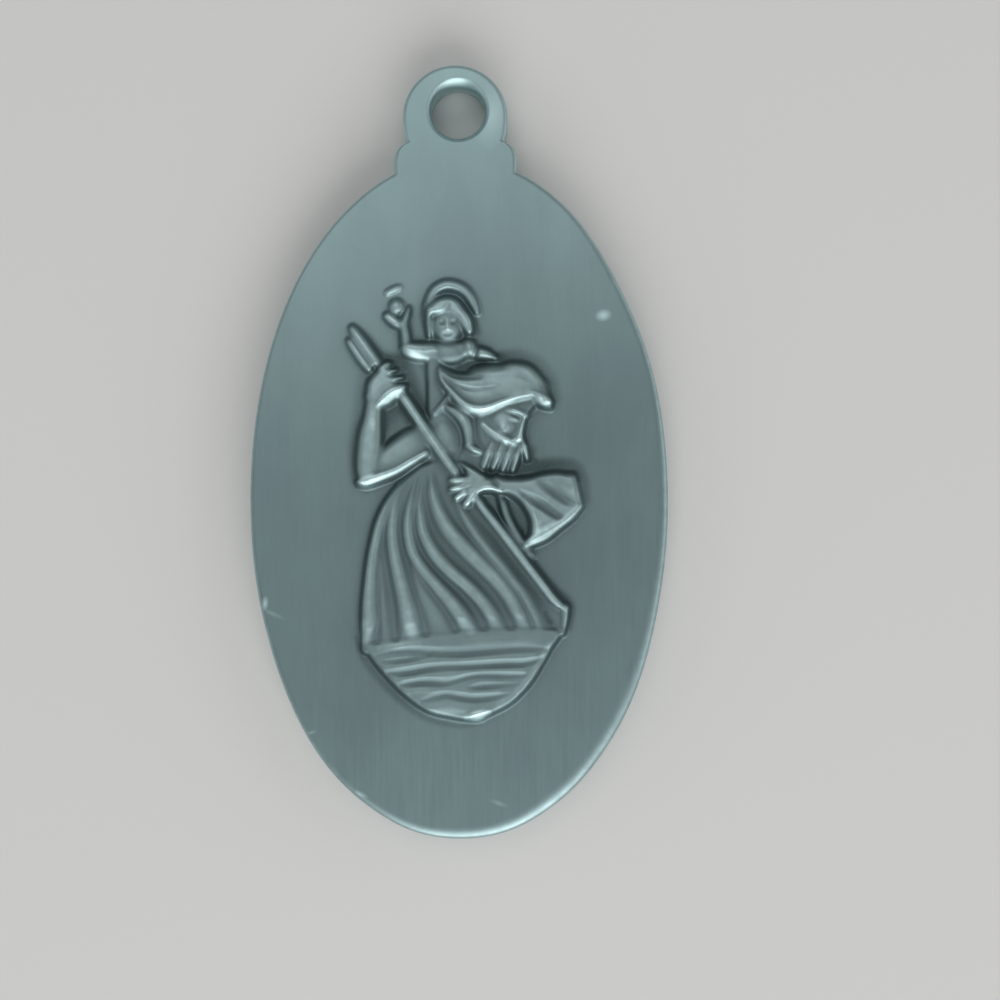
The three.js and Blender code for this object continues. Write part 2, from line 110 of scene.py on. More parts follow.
# The blank: an oval plate of cast pewter with a short neck and a drilled eye above it, in millimetres
# about the middle of the oval. The edge was trimmed by hand, so it stands in and out of the true oval
# by hundredths of its width, and tumbled until it rolled over, by shares of the full roll.
oval_wide = 14.0
oval_tall = 22.9
plate_thick = 1.6
edge_wide = 0.50
edge_deep = 0.22
neck_wide = 4.08
neck_bulge = 0.13
eye_wide = 3.52
eye_standoff = 1.36
eye_flare = 0.09
notch_wide = 3.28
hole_wide = 1.85
hole_across = 0.1
hole_up = 0.22
hole_round = 0.14
hole_worn = 0.06
bore_lip = 0.12
neck_roll = 0.3
edge_roll = [
    (0, 0.64), (30, 0.42), (60, 0.34), (90, 0.3), (115, 0.3), (150, 0.28), (180, 0.28), (210, 0.34),
    (235, 0.46), (255, 0.64), (270, 0.78), (300, 0.92), (330, 0.86), (360, 0.64),
]
edge_trim = [
    (0, 0.1), (20, 0.3), (40, -0.3), (60, 0.2), (115, 0.0), (140, 0.2), (175, 0.0), (200, 0.3),
    (228, 0.8), (250, 0.1), (270, -0.4), (290, 0.0), (308, 0.5), (322, 0.7), (345, 0.1), (360, 0.1),
]
rim_margin = 1.2
roll_steps = 6
oval_points = 380
side_points = 14
eye_points = 92
mm = 0.001


def round_edge(rows, angle):
    """A table's value at an angle round the edge."""
    for (start, low), (end, high) in zip(rows, rows[1:]):
        if angle <= end:
            share = (angle - start) / (end - start)
            share = share * share * (3 - 2 * share)
            return low + (high - low) * share
    return rows[-1][1]


def blank_outline(inset):
    """The outline's points and the share of the full roll at each, drawn in by an inset.

    They go round the oval, up the neck and over the eye.
    """
    eye_radius = eye_wide / 2 - neck_roll * inset
    half_neck = neck_wide / 2 - neck_roll * inset
    half_notch = notch_wide / 2 - neck_roll * inset
    neck_angle = math.degrees(math.acos(half_neck / (oval_wide / 2 - neck_roll * inset)))
    points = []
    for i in range(oval_points + 1):
        angle = 180 - neck_angle + (180 + 2 * neck_angle) * i / oval_points
        roll = round_edge(edge_roll, angle % 360)
        out = round_edge(edge_trim, angle % 360) * oval_wide / 100 - roll * inset
        turn = math.radians(angle)
        x = (oval_wide / 2 + out) * math.cos(turn)
        y = (oval_tall / 2 + out) * math.sin(turn)
        points.append((x, y, roll))
    eye_up = oval_tall / 2 + eye_standoff
    notch_turn = math.acos(half_notch / (eye_radius + eye_flare))
    notch_up = eye_up - (eye_radius + eye_flare) * math.sin(notch_turn)
    bulge = half_neck + neck_bulge, notch_up - neck_bulge
    foot = points[-1]
    for i in range(1, side_points):
        s = i / side_points
        points.append((
            foot[0] * (1 - s) ** 2 + bulge[0] * 2 * s * (1 - s) + half_notch * s * s,
            foot[1] * (1 - s) ** 2 + bulge[1] * 2 * s * (1 - s) + notch_up * s * s,
            neck_roll,
        ))
    for i in range(eye_points + 1):
        turn = -notch_turn + (math.pi + 2 * notch_turn) * i / eye_points
        flared = eye_radius + eye_flare * (max(0, -math.sin(turn)) / math.sin(notch_turn)) ** 2
        points.append((flared * math.cos(turn), eye_up + flared * math.sin(turn), neck_roll))
    foot = points[0]
    for i in range(side_points - 1, 0, -1):
        s = i / side_points
        points.append((
            foot[0] * (1 - s) ** 2 - bulge[0] * 2 * s * (1 - s) - half_notch * s * s,
            foot[1] * (1 - s) ** 2 + bulge[1] * 2 * s * (1 - s) + notch_up * s * s,
            neck_roll,
        ))
    return points


def stack_rings(name, loops):
    """A tube of rings, extruded ring by ring and then moved to the loops' points."""
    bpy.ops.object.select_all(action="DESELECT")
    bpy.ops.mesh.primitive_circle_add(vertices=len(loops[0]), radius=1)
    tube = bpy.context.object
    tube.name = name
    bpy.ops.object.mode_set(mode="EDIT")
    bpy.ops.mesh.select_all(action="SELECT")
    for _ in loops[1:]:
        bpy.ops.mesh.extrude_region_move(TRANSFORM_OT_translate={"value": (0, 0, 1)})
    bpy.ops.object.mode_set(mode="OBJECT")
    for vertex in tube.data.vertices:
        turn = math.atan2(vertex.co.x, vertex.co.y) % math.tau
        ring = loops[round(vertex.co.z)]
        vertex.co = ring[round(turn / math.tau * len(ring)) % len(ring)]
    return tube


quarter_turn = [math.radians(90 / roll_steps * n) for n in range(roll_steps + 1)]
rim_levels = [(rim_margin * edge_wide, 0)]
rim_levels += [
    (edge_wide * (1 - math.sin(turn)), edge_deep * (1 - math.cos(turn))) for turn in quarter_turn
]
rim_loops = [
    [Vector((x, y, deep * (0.5 + 0.5 * roll))) for x, y, roll in blank_outline(inset)]
    for inset, deep in rim_levels
]
rim_loops.append([Vector((x, y, plate_thick / 2)) for x, y, roll in blank_outline(0)])
rim_loops += [
    [Vector((x, y, plate_thick - deep * (0.5 + 0.5 * roll))) for x, y, roll in blank_outline(inset)]
    for inset, deep in reversed(rim_levels)
]
blank = stack_rings("medal_blank", rim_loops)

# The bore was drilled a little off the middle of the eye. Its mouths are rounded, and the upper one is
# worn further on its far side, where a small lip leans into the hole.
hole_middle_up = oval_tall / 2 + eye_standoff + hole_up
bore_sides = 72
lip_turn = 0.1
lip_narrow = 3
mouth_flat = 1.5
mouth_margin = 0.08
top_mouth_deep = 1.1
mouth = [(-mouth_margin, 1)]
mouth += [(math.sin(turn) ** mouth_flat, math.cos(turn) ** mouth_flat) for turn in quarter_turn]
bore_levels = [(out, up, False) for out, up in mouth]
bore_levels += [(out, up, True) for out, up in reversed(mouth)]
bore_loops = []
for out, up, at_top in bore_levels:
    ring = []
    for n in range(bore_sides):
        turn = n * math.tau / bore_sides
        far_side = max(0, math.cos(turn - lip_turn)) ** lip_narrow if at_top else 0
        lip = bore_lip * far_side
        worn = hole_round + hole_worn * far_side + lip
        radius = hole_wide / 2 - lip + worn * (1 - out)
        down = worn * (1 - up)
        ring.append(Vector((
            hole_across + radius * math.sin(turn),
            hole_middle_up + radius * math.cos(turn),
            plate_thick - top_mouth_deep * down if at_top else down,
        )))
    bore_loops.append(ring)
bore = stack_rings("medal_bore", bore_loops)

# The relief's sheet: a fine net laid over the figure's part of the face, to be raised form by form
# as a die cutter's pattern would be. Its places are in hundredths of the figure's height, across from
# the middle line and up from the lowest point of the water. Heights are shares of the full rise.
figure_tall = 14.8
figure_foot = 4.02
figure_turn = math.radians(-0.6)
relief_rise = 0.43
net_step = 0.24
net_left, net_right, net_low, net_top = -29.5, 32.5, -4.5, 103.5
unit = figure_tall / 100

columns = round((net_right - net_left) / net_step) + 1
rows_up = round((net_top - net_low) / net_step) + 1
across, up = np.meshgrid(
    np.linspace(net_left, net_right, columns), np.linspace(net_low, net_top, rows_up)
)
relief = np.zeros_like(across)


def eased(rows, closed=False, steps=7):
    """The rows of a table, run through a smooth curve."""
    rows = np.array(rows, float)
    if closed:
        ends = np.vstack([rows[-1:], rows, rows[:2]])
    else:
        ends = np.vstack([2 * rows[:1] - rows[1:2], rows, 2 * rows[-1:] - rows[-2:-1]])
    s = np.linspace(0, 1, steps, endpoint=False)[:, None]
    runs = []
    for a, b, c, d in zip(ends, ends[1:], ends[2:], ends[3:]):
        runs.append(0.5 * (
            2 * b + (c - a) * s + (2 * a - 5 * b + 4 * c - d) * s**2 + (3 * b - a - 3 * c + d) * s**3
        ))
    return np.vstack([*runs, runs[0][:1] if closed else rows[-1:]])


def patch_round(points, margin):
    """The part of the net that lies round some points."""
    low = points[:, :2].min(axis=0) - margin
    high = points[:, :2].max(axis=0) + margin
    i = slice(max(0, int((low[1] - net_low) / net_step)), int((high[1] - net_low) / net_step) + 2)
    j = slice(max(0, int((low[0] - net_left) / net_step)), int((high[0] - net_left) / net_step) + 2)
    return i, j


def ridge_shape(rows, foot, full, crown, skew=0.0):
    """A long form along a table of across, up, wide and high: where it lies, and how high it stands.

    It starts from the foot's height. The fuller it is, the flatter its top and the steeper its flanks.
    """
    run = eased(rows)
    patch = patch_round(run, run[:, 2].max() / 2 + 0.5)
    x, y = across[patch], up[patch]
    nearest = np.full(x.shape, 9.0)
    raised = np.zeros(x.shape)
    reach = np.ones(x.shape)
    for (ax, ay, aw, ah), (bx, by, bw, bh) in zip(run, run[1:]):
        long = max((bx - ax) ** 2 + (by - ay) ** 2, 1e-9)
        share = np.clip(((x - ax) * (bx - ax) + (y - ay) * (by - ay)) / long, 0, 1)
        offx = x - ax - share * (bx - ax)
        offy = y - ay - share * (by - ay)
        half = np.maximum((aw + (bw - aw) * share) / 2, 0.05)
        out = np.hypot(offx, offy) / half
        if skew:
            left = (offx * (ay - by) + offy * (bx - ax)) > 0
            signed = np.where(left, -out, out)
            out = np.where(signed > skew, (signed - skew) / (1 - skew), (skew - signed) / (1 + skew))
        closer = out < nearest
        nearest = np.where(closer, out, nearest)
        raised = np.where(closer, ah + (bh - ah) * share, raised)
        reach = np.where(closer, half, reach)
    rise = np.clip(1 - nearest**full, 0, 1) ** crown
    step = np.clip((1 - nearest) * reach / 0.4, 0, 1)
    return patch, foot * np.sqrt(step * (2 - step)) + (raised - foot) * rise


def raise_ridges(*tables, foot=0.0, full=2.8, crown=0.5, skew=0.0):
    """Ridges such as folds, limbs and locks. Where one meets another the higher one shows."""
    for rows in tables:
        patch, shape = ridge_shape(rows, foot, full, crown, skew)
        relief[patch] = np.maximum(relief[patch], shape)


def swell(*tables):
    """A soft swelling on top of what is there, only where something is already raised."""
    for rows in tables:
        patch, shape = ridge_shape(rows, 0, 2, 1.2)
        relief[patch] += np.where(relief[patch] > 0.05, shape, 0)


def cut(*tables, full=2.0, skew=0.0):
    """A groove, cut into what is there by its depth."""
    for rows in tables:
        patch, shape = ridge_shape(rows, 0, full, 1.0, skew)
        relief[patch] = np.maximum(relief[patch] - shape, 0)


def raise_ground(outline, high, lean, eased_edge=True):
    """A flat ground with a rounded shoulder of width lean all round."""
    if eased_edge:
        run = eased(outline, closed=True, steps=5)
    else:
        run = np.array([*outline, outline[0]])
    patch = patch_round(run, 0.3)
    x, y = across[patch], up[patch]
    off = np.full(x.shape, 99.0)
    inside = np.zeros(x.shape, bool)
    for (ax, ay), (bx, by) in zip(run, run[1:]):
        long = max((bx - ax) ** 2 + (by - ay) ** 2, 1e-9)
        share = np.clip(((x - ax) * (bx - ax) + (y - ay) * (by - ay)) / long, 0, 1)
        off = np.minimum(off, np.hypot(x - ax - share * (bx - ax), y - ay - share * (by - ay)))
        if ay != by:
            crossing = ax + (y - ay) * (bx - ax) / (by - ay)
            inside ^= ((ay > y) != (by > y)) & (x < crossing)
    s = np.clip(off / lean, 0, 1)
    relief[patch] = np.maximum(relief[patch], np.where(inside, high * np.sqrt(1 - (1 - s) ** 2), 0))


def raise_egg(x, y, wide, tall, high, turn=0, full=2.0):
    """A rounded boss such as a head, a knuckle or the orb."""
    patch = patch_round(np.array([[x, y]]), max(wide, tall) / 2 + 0.3)
    c = math.cos(math.radians(turn))
    s = math.sin(math.radians(turn))
    u = ((across[patch] - x) * c + (up[patch] - y) * s) / (wide / 2)
    v = ((up[patch] - y) * c - (across[patch] - x) * s) / (tall / 2)
    boss = high * np.sqrt(np.clip(1 - np.hypot(u, v) ** full, 0, 1))
    relief[patch] = np.maximum(relief[patch], boss)


# The robe: gathered under the arm and falling in long folds that swing to the right. Each fold is
# round on top. The floor between the folds is the darkest part.
robe_cloth = [
    (-9, 58), (-14, 54), (-16.8, 49), (-18.9, 43), (-20.4, 37), (-21.5, 30), (-22.1, 24),
    (-22.3, 17), (-12, 17), (0, 18.5), (12, 19), (23.8, 19.5), (24.4, 25.5), (20.8, 30.5),
    (15.6, 37), (10.6, 43.8), (5.8, 50), (1.5, 56), (-4, 60),
]
raise_ground(robe_cloth, 0.48, 1.2, eased_edge=False)
# The low broad folds that lie behind.
raise_ridges(
    [(-17.7, 37, 1.2, 0.56), (-17.3, 30, 2.6, 0.62), (-16.9, 25, 3.2, 0.65),
     (-16.2, 16, 3.4, 0.65)],
    [(-10.9, 37, 1.0, 0.56), (-9.3, 31.6, 2.8, 0.64), (-7.1, 27, 4.6, 0.68), (-5, 23, 5.8, 0.69),
     (-2.6, 16.6, 6.2, 0.68)],
    [(-1, 50.4, 1.4, 0.58), (0.4, 47.8, 2.3, 0.7), (2.8, 43.8, 2.8, 0.75), (5.7, 39.8, 2.9, 0.77),
     (9, 35.9, 2.9, 0.78), (11.7, 32.5, 2.8, 0.78), (14.2, 29.3, 2.8, 0.77), (16, 26.1, 2.8, 0.76),
     (17.4, 23.4, 2.8, 0.75), (19.4, 18, 2.8, 0.7)],
    foot=0.48, full=2.2, crown=0.9,
)
# The four full folds in front.
raise_ridges(
    [(-13.4, 53.8, 0.8, 0.54), (-15.9, 49.6, 2.3, 0.66), (-17.8, 45.2, 2.8, 0.77),
     (-18.9, 40.6, 3.0, 0.81), (-19.7, 35.9, 3.2, 0.82), (-20.1, 31.2, 3.5, 0.83),
     (-20.3, 26.6, 4.0, 0.83), (-20.2, 23, 4.4, 0.83), (-20.6, 19.9, 3.4, 0.8),
     (-20.9, 16.4, 2.6, 0.76)],
    [(-11.6, 54.6, 1.0, 0.54), (-13.8, 50.7, 2.6, 0.64), (-14.8, 46.8, 3.0, 0.76),
     (-15.1, 42.5, 3.3, 0.81), (-14.6, 37.9, 3.6, 0.83), (-13.5, 32.8, 4.1, 0.84),
     (-12.3, 28.1, 4.7, 0.85), (-11.4, 24.2, 5.6, 0.85), (-10.9, 19.6, 6.0, 0.83),
     (-10.6, 15.6, 6.2, 0.8)],
    [(-9.6, 55.2, 1.0, 0.54), (-10.9, 49.6, 2.6, 0.66), (-11.5, 45.6, 3.0, 0.78),
     (-11.3, 41.7, 3.2, 0.82), (-10.3, 37.9, 3.3, 0.83), (-8.1, 34.4, 3.5, 0.84),
     (-5.4, 31.2, 3.8, 0.85), (-2.7, 28.1, 4.2, 0.85), (-0.2, 25, 4.7, 0.85),
     (2.4, 20.8, 4.8, 0.83), (4.4, 17, 4.8, 0.8)],
    [(-8, 55, 1.0, 0.54), (-8.7, 50.2, 2.5, 0.64), (-8.8, 47.6, 2.7, 0.74), (-8.3, 43.7, 3.2, 0.82),
     (-7.1, 40.6, 3.6, 0.84), (-5, 37.3, 4.0, 0.85), (-1.9, 34, 4.1, 0.85), (1.6, 31, 4.1, 0.85),
     (4.6, 27.9, 4.1, 0.85), (6.9, 24.8, 4.2, 0.84), (9.1, 20.6, 4.3, 0.82), (11, 17, 4.3, 0.8)],
    foot=0.48, full=2.5, crown=0.9,
)
# The widest fold, steep on its right.
raise_ridges(
    [(-6.4, 56.6, 2.2, 0.5), (-6.1, 52.4, 3.0, 0.72), (-5.7, 50.2, 3.4, 0.78),
     (-4.5, 47, 4.0, 0.83), (-2.5, 43.4, 4.6, 0.86), (0.6, 39.8, 4.9, 0.87), (4.2, 36.2, 4.8, 0.87),
     (7.9, 32.5, 4.6, 0.87), (10.8, 28.9, 4.3, 0.86), (12.8, 25.3, 4.1, 0.85),
     (14.4, 22.1, 4.1, 0.83), (16, 17, 4.1, 0.8)],
    foot=0.48, full=2.3, crown=0.9, skew=-0.15,
)
raise_ridges([(24.2, 25.8, 1.9, 0.76), (24, 23.2, 1.8, 0.72), (23.4, 20, 1.5, 0.66)], foot=0.4)
hem_line = [(-22, 17.6), (-14, 18.3), (-10, 19.1), (-2, 19.8), (2, 20.4), (13, 20.8), (24, 20.2)]
hem_high = 0.6
hem_reach = 3.6
hem = np.interp(across, *zip(*hem_line))
above_hem = np.maximum(relief - hem_high, 0) * np.clip((up - hem) / hem_reach, 0, 1)
relief = np.minimum(relief, hem_high) + above_hem

# The water: a sheet that fills the foot of the scene like a bowl. Its waves are low and long, each
# with its longer side above, and its right and lower edges are worn bright and carry painted
# highlights.
water_edge = [
    (-22.2, 17.2), (-21.6, 16.3), (-19, 12.6), (-15.9, 9), (-12.8, 5.9), (-9.3, 3.2), (-6.2, 1.6),
    (-2.3, 0.7), (1.6, 0.1), (4.7, 0.4), (7.6, 1.5), (11.3, 3.4), (14.2, 5.8), (16.9, 9),
    (19.2, 12.8), (21.1, 16.2), (23.3, 21), (13.3, 21.5), (1.6, 21.1), (-2.3, 20.4), (-10.1, 19.7),
    (-14, 18.9), (-20.6, 18),
]
raise_ground(water_edge, 0.66, 1.2)
waves = [
    [(-19, 14.6, 0.8, 0.06), (-14.6, 15.6, 1.3, 0.12), (-9.6, 15.9, 1.5, 0.14),
     (-4.6, 15.6, 2.0, 0.18), (0.7, 15.6, 2.1, 0.2), (5.3, 15.9, 1.9, 0.18),
     (10.6, 16.3, 1.7, 0.16), (15.3, 16.5, 1.6, 0.15), (20.3, 16.2, 1.1, 0.1)],
    [(-17.5, 13.4, 0.8, 0.08), (-13.6, 13.8, 1.4, 0.16), (-9.6, 14.4, 1.3, 0.14),
     (-6.4, 15, 0.9, 0.08)],
    [(-16.2, 10.8, 1.0, 0.1), (-11.3, 11.2, 1.9, 0.2), (-7.3, 12, 1.8, 0.2), (-3, 12.4, 1.7, 0.18),
     (1.3, 12.5, 1.6, 0.18), (5.3, 12.7, 1.7, 0.2), (10.6, 13, 1.7, 0.2), (14.6, 13.1, 1.5, 0.18),
     (18.2, 14, 1.3, 0.15), (19.7, 15.1, 0.8, 0.08)],
    [(-13, 8.1, 1.0, 0.1), (-10.6, 8.7, 1.7, 0.18), (-7.3, 9, 1.8, 0.2), (-3.3, 8.7, 1.6, 0.18),
     (-0.7, 9.2, 1.3, 0.15), (2, 10, 1.4, 0.16), (5.3, 10.5, 1.6, 0.18), (10.6, 10.3, 1.5, 0.17),
     (15, 10.3, 1.0, 0.1)],
    [(2.4, 7.5, 0.9, 0.08), (5.3, 8, 1.6, 0.18), (10.6, 8.3, 1.3, 0.14), (13.6, 8.3, 0.8, 0.07)],
    [(-8.2, 4.6, 1.0, 0.1), (-4.6, 5.7, 1.8, 0.16), (-2.6, 6.1, 1.7, 0.18), (0, 5.6, 1.7, 0.19),
     (3.3, 5.2, 1.7, 0.19), (7.3, 5.5, 1.6, 0.17), (11.6, 6.1, 0.9, 0.08)],
]
wave_lift = 0.25
wave_spread = 1.3
wave_depth = 0.8
wave_grooves = [
    [(x, y + wave_lift, wave_spread * wide, wave_depth * deep) for x, y, wide, deep in wave]
    for wave in waves
]
cut(*wave_grooves, full=1.4, skew=0.3)
swell(
    [(-14, 17.2, 1.4, 0.03), (-9.6, 17.7, 1.8, 0.04), (-4, 17, 1.2, 0.02)],
    [(1, 18.2, 1.4, 0.02), (5, 18.5, 1.8, 0.04), (10, 18.7, 1.6, 0.04), (18, 18.8, 1.4, 0.02)],
    [(-17, 12.4, 1.4, 0.03), (-10.3, 13, 1.6, 0.05), (-4, 13.7, 1.3, 0.03), (5, 14.2, 1.6, 0.05),
     (17, 14.9, 1.6, 0.05)],
    [(-14.4, 9.4, 1.2, 0.03), (-10.6, 10.1, 1.5, 0.05), (-3, 10.6, 1.4, 0.04),
     (5.3, 11.6, 1.5, 0.05), (14.6, 11.8, 1.5, 0.05)],
    [(-12.6, 6.8, 1.4, 0.03), (-8.6, 7.4, 1.8, 0.05), (-4.6, 7.2, 1.4, 0.03), (5, 6.8, 1.2, 0.05),
     (9, 7, 1.2, 0.03)],
    [(-7.4, 3, 1.6, 0.03), (-2.6, 3.4, 2.4, 0.05), (2.8, 3.2, 2.4, 0.04), (9, 4, 1.4, 0.02)],
)
raise_ridges(
    [(1.4, 1.1, 1.6, 0.6), (2.8, 1.2, 2.6, 0.76), (4.4, 1.6, 3.2, 0.82), (6, 2.2, 2.6, 0.78),
     (7.4, 2.8, 1.4, 0.64)],
    foot=0.34, full=1.3, crown=1, skew=-0.6,
)

# The cloak: its free end flies out behind the saint's forearm. Two long hollows fan from the wrist,
# and its lower hem is turned under and catches the light.
cloak_cloth = [
    (7.6, 55.8), (10.8, 55.5), (13.6, 55.5), (15.8, 55.7), (18.7, 56.4), (21.9, 56.8), (24.2, 56.6),
    (26.3, 56.4), (27.1, 55.2), (27.5, 53.3), (28.1, 50.9), (28.3, 49), (27.9, 47.8), (26.5, 46.2),
    (24.8, 44.7), (23.4, 43.6), (21.2, 41.5), (18.7, 40.1), (16.2, 39.2), (14.9, 39.1),
    (14.6, 40.2), (15.4, 41.8), (15.8, 43), (15.7, 45.3), (14.6, 47.7), (13.1, 49.6), (11.2, 50.8),
    (9.4, 51.2), (7.6, 51.4),
]
raise_ground(cloak_cloth, 0.8, 1.9)
cut(
    [(13.4, 52.6, 0.8, 0.05), (14.9, 51.3, 1.9, 0.17), (16.8, 50, 2.6, 0.25), (18.7, 49, 2.6, 0.26),
     (20.3, 47.9, 2.4, 0.25), (21.9, 46.8, 2.0, 0.22), (23.4, 45.7, 1.3, 0.12)],
    [(17.8, 54.2, 1.4, 0.05), (19.5, 53.2, 2.3, 0.13), (21.1, 52.3, 2.8, 0.2),
     (22.7, 51.2, 2.8, 0.21), (24.3, 50, 2.5, 0.17), (25.7, 49.3, 1.6, 0.09)],
    [(18.6, 54.6, 2.0, 0.05), (22, 54.2, 3.0, 0.08), (25, 53, 2.0, 0.06)],
    [(16.2, 48.4, 0.9, 0.08), (17.6, 47.2, 1.4, 0.1), (18.4, 45.6, 1.0, 0.05)],
)
swell(
    [(26.2, 53.6, 1.6, 0.02), (26.5, 51.2, 2.0, 0.06), (26.8, 49.6, 1.4, 0.02)],
    [(12.4, 53.8, 2.6, 0.02), (16, 50.6, 2.4, 0.03), (17.2, 46, 2.4, 0.04), (17.2, 43, 2.6, 0.05)],
)
raise_ridges(
    [(14.9, 39.6, 1.6, 0.7), (16.8, 41, 3.2, 0.84), (19.4, 42.4, 3.6, 0.88),
     (22.4, 44.3, 2.8, 0.86), (25.2, 46.4, 2.6, 0.86), (27.4, 48.5, 1.8, 0.82)],
    foot=0.66, full=1.4, crown=1, skew=-0.5,
)
# The thin fold in the dark gap between the staff and the cloak.
raise_ridges(
    [(9.2, 51, 1.5, 0.4), (9.9, 49.4, 2.1, 0.54), (10.7, 46.6, 2.4, 0.6), (12.2, 43.6, 2.4, 0.62),
     (13.9, 41, 2.3, 0.6), (15.6, 38.8, 1.9, 0.5), (17, 37.4, 1.2, 0.36)],
    full=2.2,
)

# The staff: a stout pole with a split butt. It goes under the fist and under the left hand, and its
# foot runs down to the corner of the hem.
raise_ridges(
    [(-0.9, 56.5, 3.2, 0.8), (-2.8, 59, 3.3, 0.82), (-7.4, 65.7, 3.3, 0.84),
     (-12.6, 73.4, 3.3, 0.82), (-15, 77, 3.0, 0.7)],
    [(2.6, 52.4, 2.6, 0.8), (4.9, 48.9, 2.8, 0.86), (8.3, 44.6, 3.0, 0.87), (12, 39.8, 3.0, 0.87),
     (15.1, 35.7, 3.0, 0.87), (18.2, 31.7, 3.0, 0.86), (21.4, 27.6, 2.9, 0.84),
     (24.1, 25.5, 2.4, 0.78)],
    full=3, crown=0.7,
)
raise_ridges(
    [(-24.1, 88.8, 2.2, 0.5), (-23.2, 87.5, 2.9, 0.62), (-22, 85.8, 3.1, 0.68),
     (-20.6, 83.8, 3.1, 0.7), (-18.8, 81.4, 3.0, 0.72)],
    [(-24.8, 86, 1.9, 0.48), (-23.9, 84.8, 2.5, 0.6), (-22.6, 82.9, 2.7, 0.66),
     (-21.5, 81.3, 2.7, 0.68), (-20.3, 79.7, 2.4, 0.68)],
    full=3, crown=0.7,
)

# The bare chest and the right arm, bent at the elbow: a full forearm and a fist that grips the staff
# from behind. The sleeve's hem under the upper arm is a bright roll.
chest = [
    (-9, 60.5), (-6.5, 69.5), (-4, 73.5), (-0.5, 75), (3, 71), (7.5, 70), (8, 64), (6, 58),
    (2, 55.5), (-3, 58),
]
raise_ground(chest, 0.4, 1.0)
raise_egg(-3, 64.4, 6.8, 10.4, 0.6, turn=16, full=2.4)
cut(
    [(-3.4, 69.6, 0.7, 0.06), (-1.8, 68.8, 1.0, 0.14), (0, 66.8, 1.2, 0.2), (0.6, 64.3, 1.2, 0.2),
     (0.3, 61.4, 1.1, 0.18), (-1, 59, 0.8, 0.08)],
)
raise_ridges(
    [(-20.2, 56.4, 4.6, 0.66), (-16, 59.2, 6.6, 0.76), (-11.4, 62.3, 7.4, 0.76),
     (-7.4, 64.4, 7.0, 0.6)],
    full=3,
)
raise_ridges(
    [(-21.4, 54.9, 3.0, 0.8), (-20.9, 57, 5.4, 0.9), (-20.4, 60, 6.4, 0.94), (-20, 64.5, 6.2, 0.94),
     (-19.4, 69, 4.9, 0.9), (-19, 72.6, 4.6, 0.88), (-18.4, 75.4, 5.0, 0.88)],
    full=3,
)
raise_ridges(
    [(-22.4, 54, 2.2, 0.8), (-20.8, 54.3, 3.2, 0.9), (-17.6, 55.3, 3.0, 0.92),
     (-14, 56.7, 2.7, 0.9), (-10.6, 58.7, 2.5, 0.88), (-7.4, 60.6, 2.1, 0.8)],
    foot=0.62, full=1.4, crown=1, skew=-0.5,
)
fist = [
    (-17.6, 80.6), (-19, 79.4), (-20.2, 78.1), (-21, 76.6), (-21.3, 74.8), (-21.4, 72.6),
    (-18.6, 71.2), (-15.4, 72.6), (-13, 74.6), (-13.2, 77), (-14.4, 79), (-15.4, 80.8),
    (-16.4, 81.2),
]
raise_ground(fist, 0.94, 1.8)
raise_ridges(
    [(-17.6, 79.6, 2.0, 0.94), (-16.4, 80.6, 1.8, 0.94), (-15.5, 80.7, 1.3, 0.84)],
    [(-17, 78.6, 2.0, 0.96), (-15.4, 79.1, 1.9, 0.98), (-14.2, 79.2, 1.3, 0.86)],
    [(-16, 76.8, 2.0, 0.96), (-14.2, 77.4, 2.0, 1.0), (-12.8, 77.6, 1.4, 0.88)],
    [(-15, 75.4, 2.0, 0.96), (-13.2, 75.9, 2.0, 1.0), (-12, 75.8, 1.4, 0.88)],
    full=2.2,
)
cut(
    [(-16.4, 80, 0.6, 0.1), (-15.4, 79.9, 0.9, 0.22), (-14.6, 80, 1.0, 0.3)],
    [(-16, 78, 0.6, 0.12), (-14.6, 78.3, 1.0, 0.3), (-13.4, 78.4, 1.2, 0.4)],
    [(-15, 76.5, 0.6, 0.12), (-13.6, 76.7, 1.0, 0.3), (-12.2, 76.7, 1.2, 0.4)],
)
raise_ridges(
    [(-18.2, 71.2, 1.8, 0.96), (-16.4, 72.8, 3.6, 1.06), (-14.8, 74.1, 3.6, 1.08),
     (-12.6, 75, 2.2, 0.98)],
    foot=0.62, full=1.4, crown=1, skew=-0.6,
)

